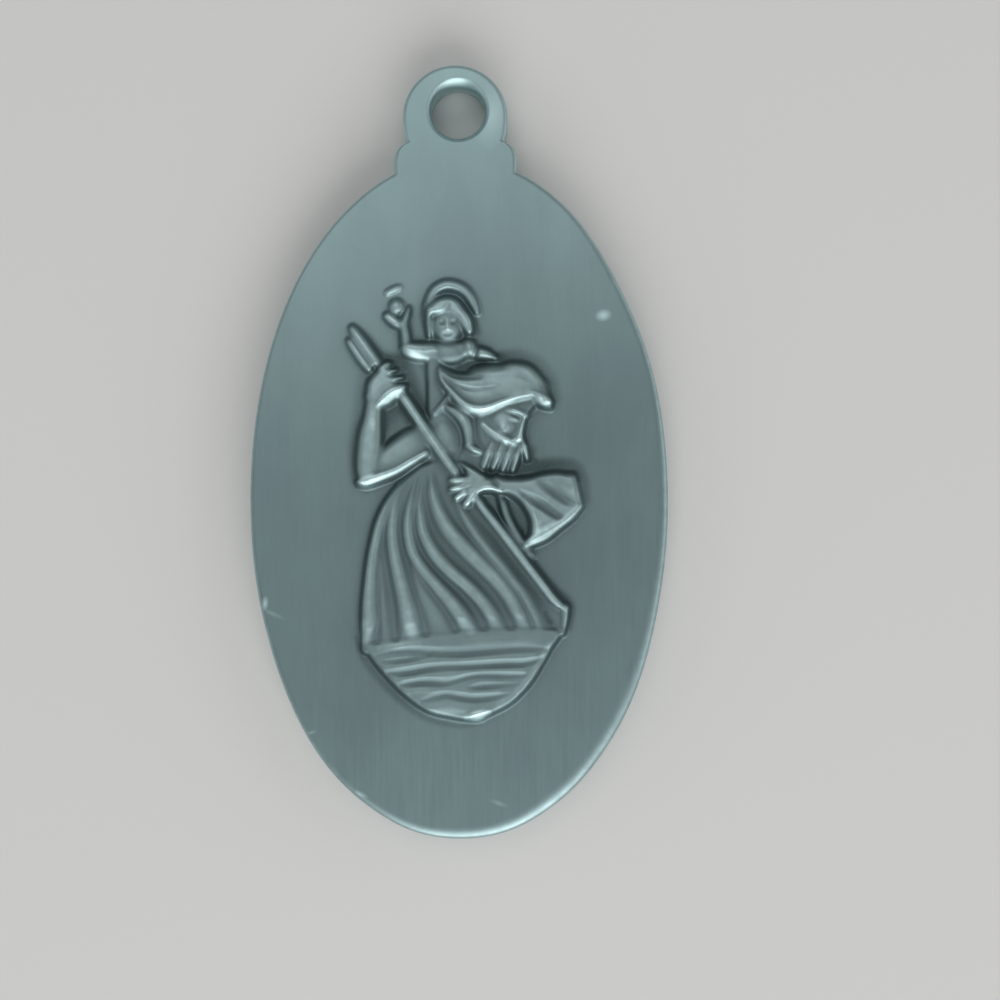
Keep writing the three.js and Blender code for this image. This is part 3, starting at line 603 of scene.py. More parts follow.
# The left hand, laid on the staff from the right: thumb up along the staff, four fingers over it, a
# wrist, and the cuff where the arm comes out of the cloak.
left_hand = [
    (1, 57.6), (3.4, 56.6), (5.2, 55.7), (7.4, 55.7), (9.4, 55.6), (9.9, 53.6), (9.8, 51.6),
    (8.2, 51.6), (6.4, 51.5), (4.8, 51.6), (4.2, 50.8), (3.4, 49.6), (2, 49.8), (0.2, 52),
    (-0.4, 54.6), (1.2, 55.6),
]
raise_ground(left_hand, 0.84, 1.5)
raise_ridges(
    [(0.2, 58.5, 1.0, 0.66), (1.9, 57.3, 1.7, 0.88), (3.5, 56.2, 2.2, 0.92), (5.2, 55, 2.6, 0.9)],
    [(3, 54.8, 2.0, 0.92), (1.2, 54.8, 2.1, 0.94), (-0.8, 54.6, 2.1, 0.92),
     (-1.8, 54.5, 1.8, 0.84)],
    [(2.9, 53.6, 1.8, 0.9), (0.6, 53.1, 2.0, 0.92), (-1.1, 52.7, 2.1, 0.92),
     (-1.8, 52.5, 1.8, 0.84)],
    [(2.9, 52.6, 1.7, 0.9), (1, 51.6, 2.1, 0.92), (-0.2, 50.8, 2.2, 0.92), (-0.6, 50.5, 1.8, 0.86)],
    [(3.9, 52, 1.8, 0.92), (2.8, 50.7, 2.4, 0.96), (1.9, 49.5, 2.5, 0.96), (1.6, 49.2, 2.2, 0.9)],
    [(3.8, 51.6, 1.6, 0.9), (5, 52.5, 2.0, 0.94), (6.6, 52.9, 2.2, 0.96), (8, 52.7, 2.0, 0.94),
     (9.8, 52, 1.6, 0.88)],
    foot=0.45, full=2, crown=0.8,
)
cut(
    [(2.6, 52.2, 1.4, 0.08), (2.2, 52.8, 1.8, 0.1), (2.8, 53.2, 1.2, 0.06)],
    [(7.4, 55.6, 0.7, 0.14), (8, 54.3, 1.0, 0.26), (8.9, 53.1, 0.7, 0.14)],
)

# The child on the saint's shoulder: a halo, a fringe of hair, a small robe, the right arm lifted with
# an orb, the left hand on the saint's hair, and a leg that hangs over the chest. The face is plain,
# with its eyes half way down the head.
raise_ridges(
    [(-7.4, 92.2, 1.6, 0.4), (-7, 94.3, 2.4, 0.5), (-5.7, 97, 2.7, 0.54), (-4.1, 98.3, 2.8, 0.54),
     (-2.2, 98.7, 2.8, 0.54), (0.1, 98.1, 2.8, 0.54), (1.8, 96.8, 2.7, 0.54), (3, 95, 2.5, 0.52),
     (4.1, 92.6, 1.7, 0.42)],
    [(-8.2, 94.4, 0.7, 0.12), (-8.1, 91.5, 0.8, 0.16), (-7.7, 88.6, 0.6, 0.1)],
    full=4, crown=0.8,
)
child_skirt = [
    (-7.3, 81.9), (-4.4, 81.9), (-4.3, 78), (-3, 74.6), (-4.2, 72), (-6, 69.3), (-7.1, 69.1),
    (-7.3, 75),
]
raise_ground(child_skirt, 0.46, 0.9)
child_chest = [
    (-8, 85.7), (-5.4, 86), (0.6, 86.2), (2.6, 86.6), (3.6, 84.6), (2, 82.2), (-0.4, 81.2),
    (-3, 81.2), (-5.6, 82),
]
raise_ground(child_chest, 0.62, 1.6)
raise_egg(-2.2, 83.4, 9.0, 5.6, 0.7, full=2.4)
raise_ridges(
    [(-11.9, 84.4, 3.0, 0.72), (-12.1, 87.2, 2.8, 0.72), (-12.4, 89.8, 2.4, 0.68),
     (-11.8, 91.8, 1.9, 0.64), (-11.3, 93.4, 1.2, 0.54)],
    [(-13, 89.2, 2.2, 0.64), (-14.4, 90.2, 2.9, 0.7), (-16, 91.5, 2.5, 0.64)],
    full=2.4,
)
raise_ridges(
    [(-6.2, 83.6, 4.6, 0.74), (-9, 83.6, 4.6, 0.84), (-11, 83.9, 4.2, 0.86), (-12, 84.2, 3.0, 0.8)],
    foot=0.4, full=1.5, crown=1, skew=0.5,
)
raise_egg(-14.1, 93.8, 3.8, 3.8, 0.5, full=3)
raise_ridges([(-16.2, 97, 1.5, 0.26), (-14.9, 97.6, 1.7, 0.3), (-13.6, 98.2, 1.4, 0.26)], full=2)
raise_egg(2.4, 84.5, 4.0, 5.2, 0.8, turn=20, full=2.2)
raise_ridges(
    [(4.4, 83.3, 3.2, 0.8), (6.4, 82.9, 2.7, 0.78), (8.6, 81.9, 1.2, 0.62)],
    foot=0.5, full=2, crown=1, skew=-0.2,
)
cut([(4.2, 85, 0.6, 0.2), (3.9, 83.6, 0.9, 0.34), (3.6, 82.2, 0.6, 0.2)])
raise_ridges([(-2.4, 73.6, 1.6, 0.64), (-3.9, 71.5, 2.0, 0.68), (-5.6, 69.7, 1.7, 0.62)], full=2.4)
raise_ridges(
    [(-2.8, 71.1, 2.0, 0.68), (-0.8, 70, 3.2, 0.76), (0.9, 68.5, 3.8, 0.8), (1.9, 66.2, 3.5, 0.78),
     (2.3, 62.8, 2.8, 0.72)],
    [(1.9, 62.3, 2.4, 0.74), (3.4, 61.5, 2.6, 0.78), (4.8, 60.9, 1.8, 0.68)],
    full=3, crown=0.8,
)
raise_egg(-2.6, 89.6, 7.8, 8.2, 0.8, full=2.4)
child_hair = [
    (-7.1, 91.4), (-7, 93.9), (-5.6, 95.4), (-3.5, 96.2), (-1.2, 96), (0.6, 94.9), (1.9, 92.9),
    (2.9, 90.9), (3.5, 88.7), (3, 87.3), (2.1, 87.8), (1.4, 89.9), (0.3, 91.5), (-1.2, 92.3),
    (-3.2, 91.8), (-5.2, 91.7), (-6.2, 91.4),
]
raise_ground(child_hair, 0.9, 1.4)
raise_ridges([(-6.9, 92, 1.8, 0.8), (-6.8, 89.4, 1.8, 0.66), (-6.7, 87, 1.4, 0.5)], full=2.2)
raise_ridges(
    [(-6.3, 92.8, 2.6, 0.92), (-4.4, 93.3, 3.0, 0.95), (-2.6, 93.4, 2.8, 0.92)],
    [(-1.6, 93.2, 2.6, 0.92), (0.2, 92.3, 3.2, 0.96), (1.6, 90.4, 3.2, 0.96),
     (2.4, 88.2, 2.4, 0.88)],
    foot=0.66, full=2.2, crown=1,
)
cut(
    [(-3.6, 92.2, 0.6, 0.1), (-2.8, 93.2, 0.8, 0.2), (-2, 94.4, 0.6, 0.12)],
    [(-4.1, 90.1, 1.1, 0.24), (-3.3, 90.15, 1.0, 0.2)],
    [(-1.8, 90.15, 1.0, 0.2), (-1, 90.1, 1.1, 0.24)],
    [(-3.4, 87.6, 0.7, 0.14), (-2.55, 87.5, 0.8, 0.2), (-1.7, 87.6, 0.7, 0.14)],
)
swell([(-2.55, 90.6, 0.7, 0.08), (-2.55, 88.7, 1.1, 0.14)])

# The saint's head, bowed to the lower right. The hair sweeps back from the forehead in one full cap
# with a bright rolled edge and a forelock. The face is a plain one on schoolbook thirds: hair to
# brow, brow to nose, nose to chin. The beard hangs in separate strands.
hair_cap = [
    (-4.6, 81), (-2.9, 80.1), (-1.2, 79.2), (1.2, 78.9), (4.6, 79.2), (7, 79.8), (8.7, 80.7),
    (11, 81.5), (13.4, 81.6), (15.8, 81.1), (17.5, 80), (19.2, 78), (20.5, 75.3), (21.4, 72.9),
    (21.5, 71.1), (20.9, 70.2), (19.4, 70.8), (18.2, 72), (16.8, 72.9), (15.8, 72.6), (14.1, 72.3),
    (11.4, 71.5), (9, 70.6), (6.6, 69.7), (4.3, 69.3), (2.2, 69.7), (0.5, 71), (-0.8, 72.7),
    (-2.5, 74.4), (-3.9, 76.2), (-4.7, 78.3),
]
hairline = np.array([17.4, 72.4])
chin = np.array([9.8, 59.6])
down = (chin - hairline) / np.hypot(*(chin - hairline))
ahead = np.array([-down[1], down[0]])
face_long = np.hypot(*(chin - hairline))


def on_face(share, out):
    """A place on the face: its share of the way down to the chin, and how far ahead of that line."""
    return tuple(hairline + face_long * (share * down + out * ahead))


face_turn = math.degrees(math.atan2(ahead[1], ahead[0]))
raise_ground(
    [on_face(-0.1, -0.02), on_face(0.24, 0.02), on_face(0.33, -0.01), on_face(0.45, 0.03),
     on_face(0.62, 0.12), on_face(0.68, 0.05), on_face(0.76, 0.05), on_face(0.86, 0.03),
     on_face(1.02, 0), on_face(1.08, -0.2), on_face(0.95, -0.5), on_face(0.5, -0.75),
     on_face(0, -0.7)],
    0.62, 1.2,
)
raise_egg(*on_face(0.42, -0.32), 8.4, 13.6, 0.76, turn=face_turn, full=2.4)
raise_egg(*on_face(0.6, -0.22), 4.6, 5.2, 0.84, turn=face_turn)
raise_ridges(
    [(*on_face(0.27, 0.0), 1.4, 0.86), (*on_face(0.28, -0.14), 1.7, 0.9),
     (*on_face(0.33, -0.34), 1.2, 0.84)],
    [(*on_face(0.3, -0.02), 1.2, 0.84), (*on_face(0.46, 0.02), 1.7, 0.9),
     (*on_face(0.61, 0.06), 2.4, 0.96), (*on_face(0.66, 0.02), 1.6, 0.88)],
    [(*on_face(0.38, -0.08), 0.9, 0.84), (*on_face(0.4, -0.15), 1.5, 0.92),
     (*on_face(0.42, -0.24), 0.9, 0.84)],
    [(*on_face(0.71, 0.06), 1.8, 0.84), (*on_face(0.73, -0.1), 2.4, 0.9),
     (*on_face(0.74, -0.3), 2.2, 0.88), (*on_face(0.71, -0.52), 1.6, 0.8)],
    full=2.4,
)
cut(
    [(*on_face(0.415, -0.08), 0.5, 0.1), (*on_face(0.43, -0.15), 0.6, 0.14),
     (*on_face(0.44, -0.23), 0.4, 0.08)],
    [(*on_face(0.345, -0.05), 0.7, 0.1), (*on_face(0.35, -0.16), 0.9, 0.14),
     (*on_face(0.38, -0.3), 0.6, 0.08)],
)
raise_ridges(
    [(7.6, 63, 2.0, 0.76), (6.6, 60.6, 2.3, 0.78), (5.5, 57.6, 2.0, 0.6)],
    [(9.8, 62.6, 2.0, 0.78), (8.8, 60, 2.3, 0.8), (7.7, 57.5, 2.0, 0.6)],
    [(11.9, 62.2, 2.0, 0.78), (10.9, 59.7, 2.3, 0.8), (9.9, 57, 2.0, 0.6)],
    [(13.7, 62.2, 1.8, 0.76), (13, 59.6, 2.1, 0.78), (12.1, 56.8, 1.8, 0.6)],
    [(14, 64.6, 1.6, 0.8), (14.8, 62, 1.9, 0.84), (15.4, 59.4, 1.6, 0.64)],
    foot=0.3, full=3, crown=0.8,
)
raise_ground(hair_cap, 0.9, 2.2)
raise_egg(11, 76.4, 20, 9.2, 1.0, turn=-8, full=3)
raise_ridges(
    [(-4.6, 79.8, 1.0, 0.7), (-4.3, 77.8, 1.4, 0.84), (-3.2, 76, 1.7, 0.94), (-1.7, 74.4, 2.0, 1.0),
     (-0.1, 72.6, 2.4, 1.05), (1.4, 71.3, 2.8, 1.08), (3.1, 70.6, 3.2, 1.1), (5, 70.4, 3.2, 1.1),
     (7.2, 70.9, 2.8, 1.1), (9.4, 71.8, 2.5, 1.08), (11.6, 72.6, 2.3, 1.07),
     (13.8, 73.3, 2.1, 1.06), (15.8, 73.6, 1.9, 1.04)],
    foot=0.7, full=1.4, crown=1, skew=-0.55,
)
raise_ridges(
    [(16, 74.2, 2.0, 1.0), (17.6, 73.4, 3.0, 1.06), (19, 72.5, 3.6, 1.06), (20, 72, 3.0, 1.0)],
    foot=0.7, full=1.4, crown=1, skew=-0.6,
)
cut([(-25, 88.2, 0.5, 0.06), (-23.2, 85.6, 0.7, 0.14), (-20.2, 81.2, 0.7, 0.14)])
cut(
    [(-3.9, 79.8, 0.6, 0.12), (-1.6, 78.1, 0.9, 0.24), (1.6, 77.6, 0.9, 0.22),
     (5, 77.8, 0.8, 0.12)],
    [(-3.7, 78.2, 0.6, 0.12), (-1.8, 76.1, 0.9, 0.24), (0.6, 73.8, 0.8, 0.14),
     (3, 72.3, 0.7, 0.08)],
    [(-2.9, 77.8, 0.6, 0.12), (0, 75.8, 0.9, 0.2), (4, 75, 0.9, 0.14), (9, 75.6, 0.7, 0.07)],
    [(2, 77.2, 0.4, 0.05), (8, 77.7, 0.5, 0.07), (14, 77.9, 0.5, 0.07), (18.6, 75.6, 0.4, 0.05)],
    [(7, 79.2, 0.4, 0.05), (11, 79.9, 0.5, 0.06), (15.4, 79.3, 0.4, 0.05)],
)


# The whole relief was softened a little by casting and tumbling. Where it is hollow, the pewter stays
# dark, and where it stands proud, it is rubbed bright. Both are worked out here for the finish. The
# dark also holds painted shade, and the bright holds painted highlights.
def soften(field, reach):
    """Blurs a field on the net by a reach in hundredths of the figure."""
    span = max(1, round(3 * reach / net_step))
    weights = np.exp(-0.5 * (np.arange(-span, span + 1) * net_step / reach) ** 2)
    weights /= weights.sum()
    for axis in (0, 1):
        field = np.apply_along_axis(
            lambda line: np.convolve(np.pad(line, span, "edge"), weights, "valid"), axis, field
        )
    return field


def is_inside(x, y, outline):
    """Which points lie inside an outline."""
    inside = np.zeros(x.shape, bool)
    for (ax, ay), (bx, by) in zip(outline, [*outline[1:], outline[0]]):
        if ay != by:
            inside ^= ((ay > y) != (by > y)) & (x < ax + (y - ay) * (bx - ax) / (by - ay))
    return inside


figure_patch = [
    (2, -3.4), (10, -0.6), (17.5, 5.5), (23.5, 13.5), (27.5, 20.5), (28.4, 27), (24, 34), (31, 43),
    (32, 49), (31, 60), (21, 61.5), (20, 66), (25, 69), (25.4, 74), (22, 82.5), (14, 86), (9.5, 88),
    (7.6, 97), (3, 102.6), (-6, 102.9), (-12, 102.3), (-19.5, 101), (-20.5, 94), (-28.6, 92.6),
    (-29, 84), (-25.6, 78), (-27, 62), (-26, 50.5), (-22, 47), (-24.6, 37), (-26, 16.5),
    (-18.5, 4.5), (-8.5, -2.3),
]
within = np.clip(2 * soften(is_inside(across, up, figure_patch).astype(float), 0.9) - 1, 0, 1)


def ramp(field, start, span):
    """Nothing up to the start, and all of it from a span above that."""
    return np.clip((field - start) / span, 0, 1)


cast_softness = 0.34
crest_cells = 5
hollow_tarnish = 0.74
foot_tarnish = 0.3
outline_patina_and_shade = 0.32
outline_reach = 0.9
near_tarnish = 0.36
near_reach = 2.8
flank_shade_strength = 0.5
high_polish = 0.45

relief = soften(relief, cast_softness)
crest = relief.copy()
for axis in (0, 1):
    shifts = range(-crest_cells, crest_cells + 1)
    crest = np.max([np.roll(crest, shift, axis) for shift in shifts], axis=0)
drop = soften(crest, 0.5) - relief
raised = ramp(relief, 0, 0.35)
at_foot = np.clip(1.6 - relief / 0.3, 0, 1)
tarnish_and_shade = raised * (hollow_tarnish + (foot_tarnish - hollow_tarnish) * at_foot) * ramp(drop, 0.04, 0.3)
# Along the figure's outline the plate is darkened, partly patina in the corner and partly painted
# shade at the foot of the wall; further out comes patina round the figure.
at_outline = np.clip(2.0 * (soften(relief, outline_reach) - relief), 0, outline_patina_and_shade)
near_figure = np.clip(1.2 * (soften(relief, near_reach) - relief), 0, near_tarnish)
tarnish_and_shade += (1 - raised) * (at_outline + near_figure)
# Painted shade on the low steep flanks beside tall forms, which dims the glint they catch.
steep = np.hypot(*np.gradient(relief, net_step))
flank_shade = ramp(steep, 0.05, 0.1) * ramp(0.5 - relief, 0, 0.2) * ramp(crest, 0.4, 0.3)
tarnish_and_shade = np.maximum(tarnish_and_shade, flank_shade_strength * flank_shade)
polish_and_highlight = high_polish * ramp(relief, 0.6, 0.22) * np.clip(1.2 - drop / 0.16, 0, 1)


def stain_and_shadow(*tables, depth=0.25):
    """Black left by hand, with painted shadow laid in with it, by its strength, on what is no higher
    than the depth.
    """
    for rows in tables:
        patch, shape = ridge_shape(rows, 0, 2, 1.5)
        tarnish_and_shade[patch] += shape * np.clip(2 * (depth - relief[patch]) / depth, 0, 1)


# In the seam between the robe and the water.
stain_and_shadow(
    [(-21, 18, 1.2, 0.2), (-14, 18.8, 1.3, 0.3), (-10, 19.6, 1.3, 0.3), (-2, 20.4, 1.3, 0.3),
     (2, 21, 1.3, 0.3), (13, 21.4, 1.3, 0.3), (21.6, 21, 1.4, 0.4)],
    [(19.8, 24.4, 2.4, 0.3), (20.8, 22.4, 3.4, 0.5), (22, 21.4, 2.4, 0.3)],
    depth=2.4,
)
# In the floor between the folds beside the staff.
stain_and_shadow(
    [(0.6, 49.6, 1.4, 0.2), (4.2, 45, 2.0, 0.35), (7.6, 41, 2.2, 0.4), (10.4, 37.3, 2.2, 0.4),
     (13.4, 33.3, 2.4, 0.4), (16.2, 29.7, 2.6, 0.4), (18.6, 26.1, 2.8, 0.4),
     (20.6, 22.9, 3.0, 0.4)],
    [(-8, 50, 1.2, 0.15), (-11, 41, 1.6, 0.2), (-6.4, 35, 1.8, 0.2), (0.4, 27.6, 2, 0.2),
     (4.4, 22, 2, 0.2)],
    depth=0.9,
)
# On the plate round the heads, the arms, the cloak, the staff and the water: partly patina, partly
# painted shadow of the higher forms.
stain_and_shadow(
    [(0, 80.2, 2, 0.5), (3, 80.6, 2.4, 0.65), (6.6, 81.6, 3, 0.65), (10, 83, 3.6, 0.5),
     (14, 83.4, 4, 0.4), (18, 82, 3.8, 0.35), (21.4, 78, 3, 0.3), (22.8, 73, 2.6, 0.2)],
    [(-24, 90, 2, 0.3), (-20.6, 87, 3, 0.4), (-17.6, 82.8, 4.6, 0.5), (-14, 81.6, 5, 0.6),
     (-11, 79, 4, 0.5), (-9.4, 74, 3.6, 0.5), (-8, 70, 2.4, 0.5)],
    [(-16.6, 66.4, 3.4, 0.3), (-15.4, 68.4, 7, 0.45), (-14, 69.6, 6, 0.45), (-12, 68, 3, 0.3)],
    [(-22.6, 78, 2.4, 0.15), (-23.4, 70, 2.8, 0.2), (-24.4, 62, 2.8, 0.2), (-24, 55, 2.6, 0.2),
     (-21, 52, 2.4, 0.2)],
    [(12, 57.4, 2.4, 0.3), (17, 58, 4, 0.7), (22, 58.8, 4.4, 0.7), (26.4, 58.2, 4, 0.6),
     (28.8, 54.6, 3, 0.4), (29.4, 50, 2.4, 0.25)],
    [(4.6, 60, 3, 0.4), (5.6, 57.2, 2.4, 0.5), (10, 56.6, 2, 0.5), (15.6, 58, 3.4, 0.5),
     (17, 61.6, 3, 0.3)],
    [(11, 44, 2, 0.3), (17, 35.6, 3, 0.4), (21.6, 30, 3.4, 0.45), (25.6, 26.6, 3, 0.4),
     (25.2, 21, 2, 0.3)],
    [(1.6, 94.6, 2, 0.2), (3.2, 92.2, 2, 0.3), (4.6, 88, 2.4, 0.3)],
    [(-23.4, 19, 2, 0.3), (-21.4, 13.4, 2.6, 0.4), (-15.6, 6.6, 2.8, 0.45), (-8.6, 1, 2.6, 0.4),
     (-1, -1.2, 2.2, 0.35), (5, -0.8, 1.4, 0.2)],
    [(9.6, 48.6, 2, 0.2), (13.4, 46.4, 4, 0.25), (14.4, 42.6, 2.6, 0.25)],
)
# Over the waves' grooves, and faintly over the whole of the water.
wave_stains = [[(x, y, wide + 0.4, 1.4 * deep) for x, y, wide, deep in wave] for wave in waves]
stain_and_shadow(*wave_stains, [(-12, 9.6, 15, 0.04), (12, 9.6, 15, 0.04)], depth=2.4)


def rub_and_highlight(*tables):
    """Wear and painted highlights on the parts that stand proudest, by their strength."""
    for rows in tables:
        patch, shape = ridge_shape(rows, 0, 2, 1.2)
        polish_and_highlight[patch] += shape
        tarnish_and_shade[patch] *= 1 - np.clip(shape, 0, 0.9)


# Wear on the proudest parts, and painted highlights where the light glints: the sleeve's hem, the
# thumb, the hair's roll and forelock, the cloak's hem, the child's elbow, the water's foot and the
# like.
rub_and_highlight(
    [(-22.2, 53.8, 2.6, 0.5), (-20.8, 53.9, 4, 0.8), (-17.6, 54.9, 3.8, 0.6),
     (-14, 56.3, 3.4, 0.45), (-10.6, 58.3, 3, 0.45), (-7.4, 60.2, 2.4, 0.4)],
    [(-18, 16.6, 1.6, 0.15), (-14, 17.3, 2, 0.3), (-9, 17.8, 1.8, 0.15)],
    [(-6, 2.4, 1.8, 0.25), (-2.4, 2.6, 2.4, 0.4), (1, 2.2, 1.8, 0.2)],
    [(20.4, 17.6, 1.8, 0.25), (17.4, 12, 2, 0.3), (13.2, 7, 2, 0.25), (9, 4, 1.8, 0.2)],
    [(-19.4, 67.9, 1.7, 0.35), (-19.3, 67.1, 1.9, 0.5), (-19.3, 66.4, 1.7, 0.3)],
    [(-18.2, 71, 2, 0.6), (-16.4, 72.4, 3.4, 0.8), (-14.8, 73.8, 3.4, 0.9), (-12.8, 74.8, 2, 0.5)],
    [(-3, 75.4, 1.2, 0.3), (-0.1, 72.2, 1.8, 0.6), (1.4, 70.9, 2.2, 0.8), (3.1, 70.2, 2.4, 0.9),
     (5, 70, 2.4, 0.9), (7.2, 70.5, 2, 0.8), (9.4, 71.4, 1.8, 0.7), (11.6, 72.2, 1.6, 0.6),
     (15.8, 73.2, 1.4, 0.5)],
    [(17, 73, 2, 0.5), (18.6, 72.4, 2.6, 0.9), (20, 71.6, 2.2, 0.8)],
    [(15.4, 40.2, 2, 0.3), (17.6, 41.6, 4.2, 0.45), (20.6, 43.4, 3.6, 0.4), (23.6, 45.2, 2.6, 0.35),
     (26, 46.8, 2.8, 0.5), (27.6, 48.4, 2.2, 0.5)],
    [(16.2, 41.6, 3, 0.4), (17.2, 44, 3.4, 0.5), (16.8, 47, 3, 0.3), (15, 50, 2.4, 0.2)],
    [(27, 53.6, 1.6, 0.3), (27.4, 51, 1.8, 0.4), (27.8, 49, 1.6, 0.4)],
    [(0.6, 54.8, 1.4, 0.3), (-1.6, 54.6, 1.4, 0.5)],
    [(0, 53, 1.4, 0.3), (-1.5, 52.6, 1.4, 0.5)],
    [(1, 51.6, 1.4, 0.4), (-0.4, 50.6, 1.6, 0.7)],
    [(3, 51, 1.6, 0.5), (1.7, 49.3, 1.8, 0.9)],
    [(4.6, 52, 1.6, 0.6), (6.6, 52.6, 2, 0.8), (9, 52.2, 1.6, 0.6)],
    [(-13, 83.8, 2, 0.8), (-11.6, 83.2, 2.4, 1), (-9.4, 82.4, 2.2, 1), (-7.2, 81.9, 1.6, 0.7)],
    [(1.6, 83, 2, 0.3), (2.8, 82.6, 2.2, 0.5), (3.4, 83.4, 1.6, 0.3)],
    [(5, 82.6, 1.6, 0.25), (6.8, 82.2, 1.2, 0.25)],
    [(-14.2, 90, 2.2, 0.6), (-15.2, 90.8, 2.6, 1), (-16.2, 91.5, 2.2, 0.8)],
    [(1.8, 1, 2, 0.7), (4.2, 1.3, 3.2, 1.3), (6.6, 2.2, 2, 0.7)],
    [(3, 61.8, 1.6, 0.4), (4.6, 61, 1.6, 0.6)],
    [(-21.4, 22, 3, 0.3), (-21.4, 18.6, 3, 0.4)],
    [(-11.6, 24, 3, 0.2), (-10.4, 20, 3.4, 0.4)],
    [(1, 22.8, 3, 0.2), (2.6, 20.8, 3, 0.3)],
    [(24, 26, 2, 0.4), (23.8, 22, 1.6, 0.3)],
    [(-7, 94, 3, 0.2), (-5.6, 97, 3.4, 0.35), (-2.2, 98.7, 3.4, 0.4), (1.8, 96.9, 3.4, 0.4),
     (3.8, 93.6, 2.4, 0.3)],
    [(-1, 70, 3, 0.2), (0.9, 68.4, 3.2, 0.25), (2, 65.6, 3, 0.2), (2.4, 62.8, 2.4, 0.2)],
    [(-4.4, 67.4, 4, 0.15), (-3.4, 64, 5.4, 0.25), (-3, 61, 3.6, 0.15)],
    [(-14.1, 93.8, 3.6, 0.4), (-14, 93.7, 3.6, 0.4)],
    [(-16.2, 97, 1.6, 0.4), (-13.6, 98.2, 1.6, 0.4)],
    [(-2.6, 88.6, 5, 0.2), (-2.5, 90.4, 5, 0.2)],
    [(-6, 92.8, 2.6, 0.2), (-3.4, 93.2, 2.6, 0.2)],
    [(0, 92.2, 3, 0.2), (1.8, 90, 3, 0.35), (2.6, 88.2, 2, 0.25)],
    [(3, 52, 2.4, 0.3), (9.7, 42.8, 2.8, 0.35), (18, 31.9, 2.8, 0.4), (22.2, 26.9, 2.6, 0.45)],
    [(10, 49, 1.8, 0.2), (12.2, 43.6, 2, 0.25), (15, 39.6, 1.6, 0.2)],
    [(-1.2, 57, 2.8, 0.3), (-7.4, 65.7, 3, 0.35), (-12.6, 73.4, 3, 0.35)],
    [(-23.6, 88, 2.6, 0.5), (-20.6, 83.8, 3, 0.5), (-18.8, 81.4, 3, 0.3)],
    [(-24.6, 85.4, 1.8, 0.6), (-22.6, 82.4, 2.2, 0.7), (-20.4, 79.8, 2, 0.4)],
    [(*on_face(0.3, -0.04), 2, 0.4), (*on_face(0.5, 0.02), 2.2, 0.7),
     (*on_face(0.62, 0.04), 2.6, 0.9)],
    [(*on_face(0.26, 0.0), 1.8, 0.5), (*on_face(0.28, -0.2), 1.8, 0.5)],
    [(*on_face(0.74, 0.0), 2.4, 0.6), (*on_face(0.75, -0.3), 2.2, 0.8),
     (*on_face(0.71, -0.5), 1.8, 0.6)],
    [(*on_face(0.56, -0.16), 3.2, 0.5), (*on_face(0.5, -0.32), 3, 0.3)],
    [(15, 62, 1.8, 0.6), (15.3, 60, 1.4, 0.5)],
    [(6.4, 60.6, 2, 0.35), (5.6, 58, 1.6, 0.3)],
    [(8.7, 60.4, 2, 0.4), (7.8, 58, 1.7, 0.3)],
    [(10.8, 60.2, 2, 0.4), (10, 57.8, 1.7, 0.3)],
    [(12.9, 60, 1.8, 0.4), (12.2, 57.4, 1.5, 0.3)],
)
tarnish_left = 0.86
blackest = 0.82
brightest = 1.1
tarnish_and_shade = np.clip(tarnish_left * tarnish_and_shade, 0, blackest) * within
polish_and_highlight = np.clip(polish_and_highlight, 0, brightest) * within * (1 - 0.6 * tarnish_and_shade)


def give_finish(mesh, tarnished_and_shaded, polished_and_highlit):
    """Stores each point's patina with its painted shade, and its wear with its painted highlights."""
    for name, values in (("tarnish_and_shade", tarnished_and_shaded), ("polish_and_highlight", polished_and_highlit)):
        attribute = mesh.attributes.new(name, "FLOAT", "POINT")
        attribute.data.foreach_set("value", np.ascontiguousarray(values, "f"))


# The net is cut to the patch round the figure, raised, and set into the blank's face.
bpy.ops.object.select_all(action="DESELECT")
bpy.ops.mesh.primitive_grid_add(x_subdivisions=columns - 1, y_subdivisions=rows_up - 1, size=1)
net = bpy.context.object
net.name = "cast_medal"
spots = np.empty(len(net.data.vertices) * 3)
net.data.vertices.foreach_get("co", spots)
spots = spots.reshape(-1, 3)
column = np.rint((spots[:, 0] + 0.5) * (columns - 1)).astype(int)
row = np.rint((spots[:, 1] + 0.5) * (rows_up - 1)).astype(int)
x = across[row, column] * unit
y = up[row, column] * unit + figure_foot - oval_tall / 2
spots[:, 0] = x * math.cos(figure_turn) - y * math.sin(figure_turn)
spots[:, 1] = x * math.sin(figure_turn) + y * math.cos(figure_turn)
spots[:, 2] = plate_thick + relief[row, column] * relief_rise
net.data.vertices.foreach_set("co", spots.ravel())
give_finish(net.data, tarnish_and_shade[row, column], polish_and_highlight[row, column])

corners = np.empty(len(net.data.loops), int)
net.data.loops.foreach_get("vertex_index", corners)
corners = corners.reshape(-1, 4)
middle_across = across[row, column][corners].mean(axis=1)
middle_up = up[row, column][corners].mean(axis=1)
outside = ~is_inside(middle_across, middle_up, figure_patch)
net.data.vertices.foreach_set("select", np.zeros(len(net.data.vertices), bool))
net.data.edges.foreach_set("select", np.zeros(len(net.data.edges), bool))
net.data.polygons.foreach_set("select", outside)
bpy.context.tool_settings.mesh_select_mode = (False, False, True)
bpy.ops.object.mode_set(mode="EDIT")
bpy.ops.mesh.delete(type="FACE")
bpy.ops.object.mode_set(mode="OBJECT")

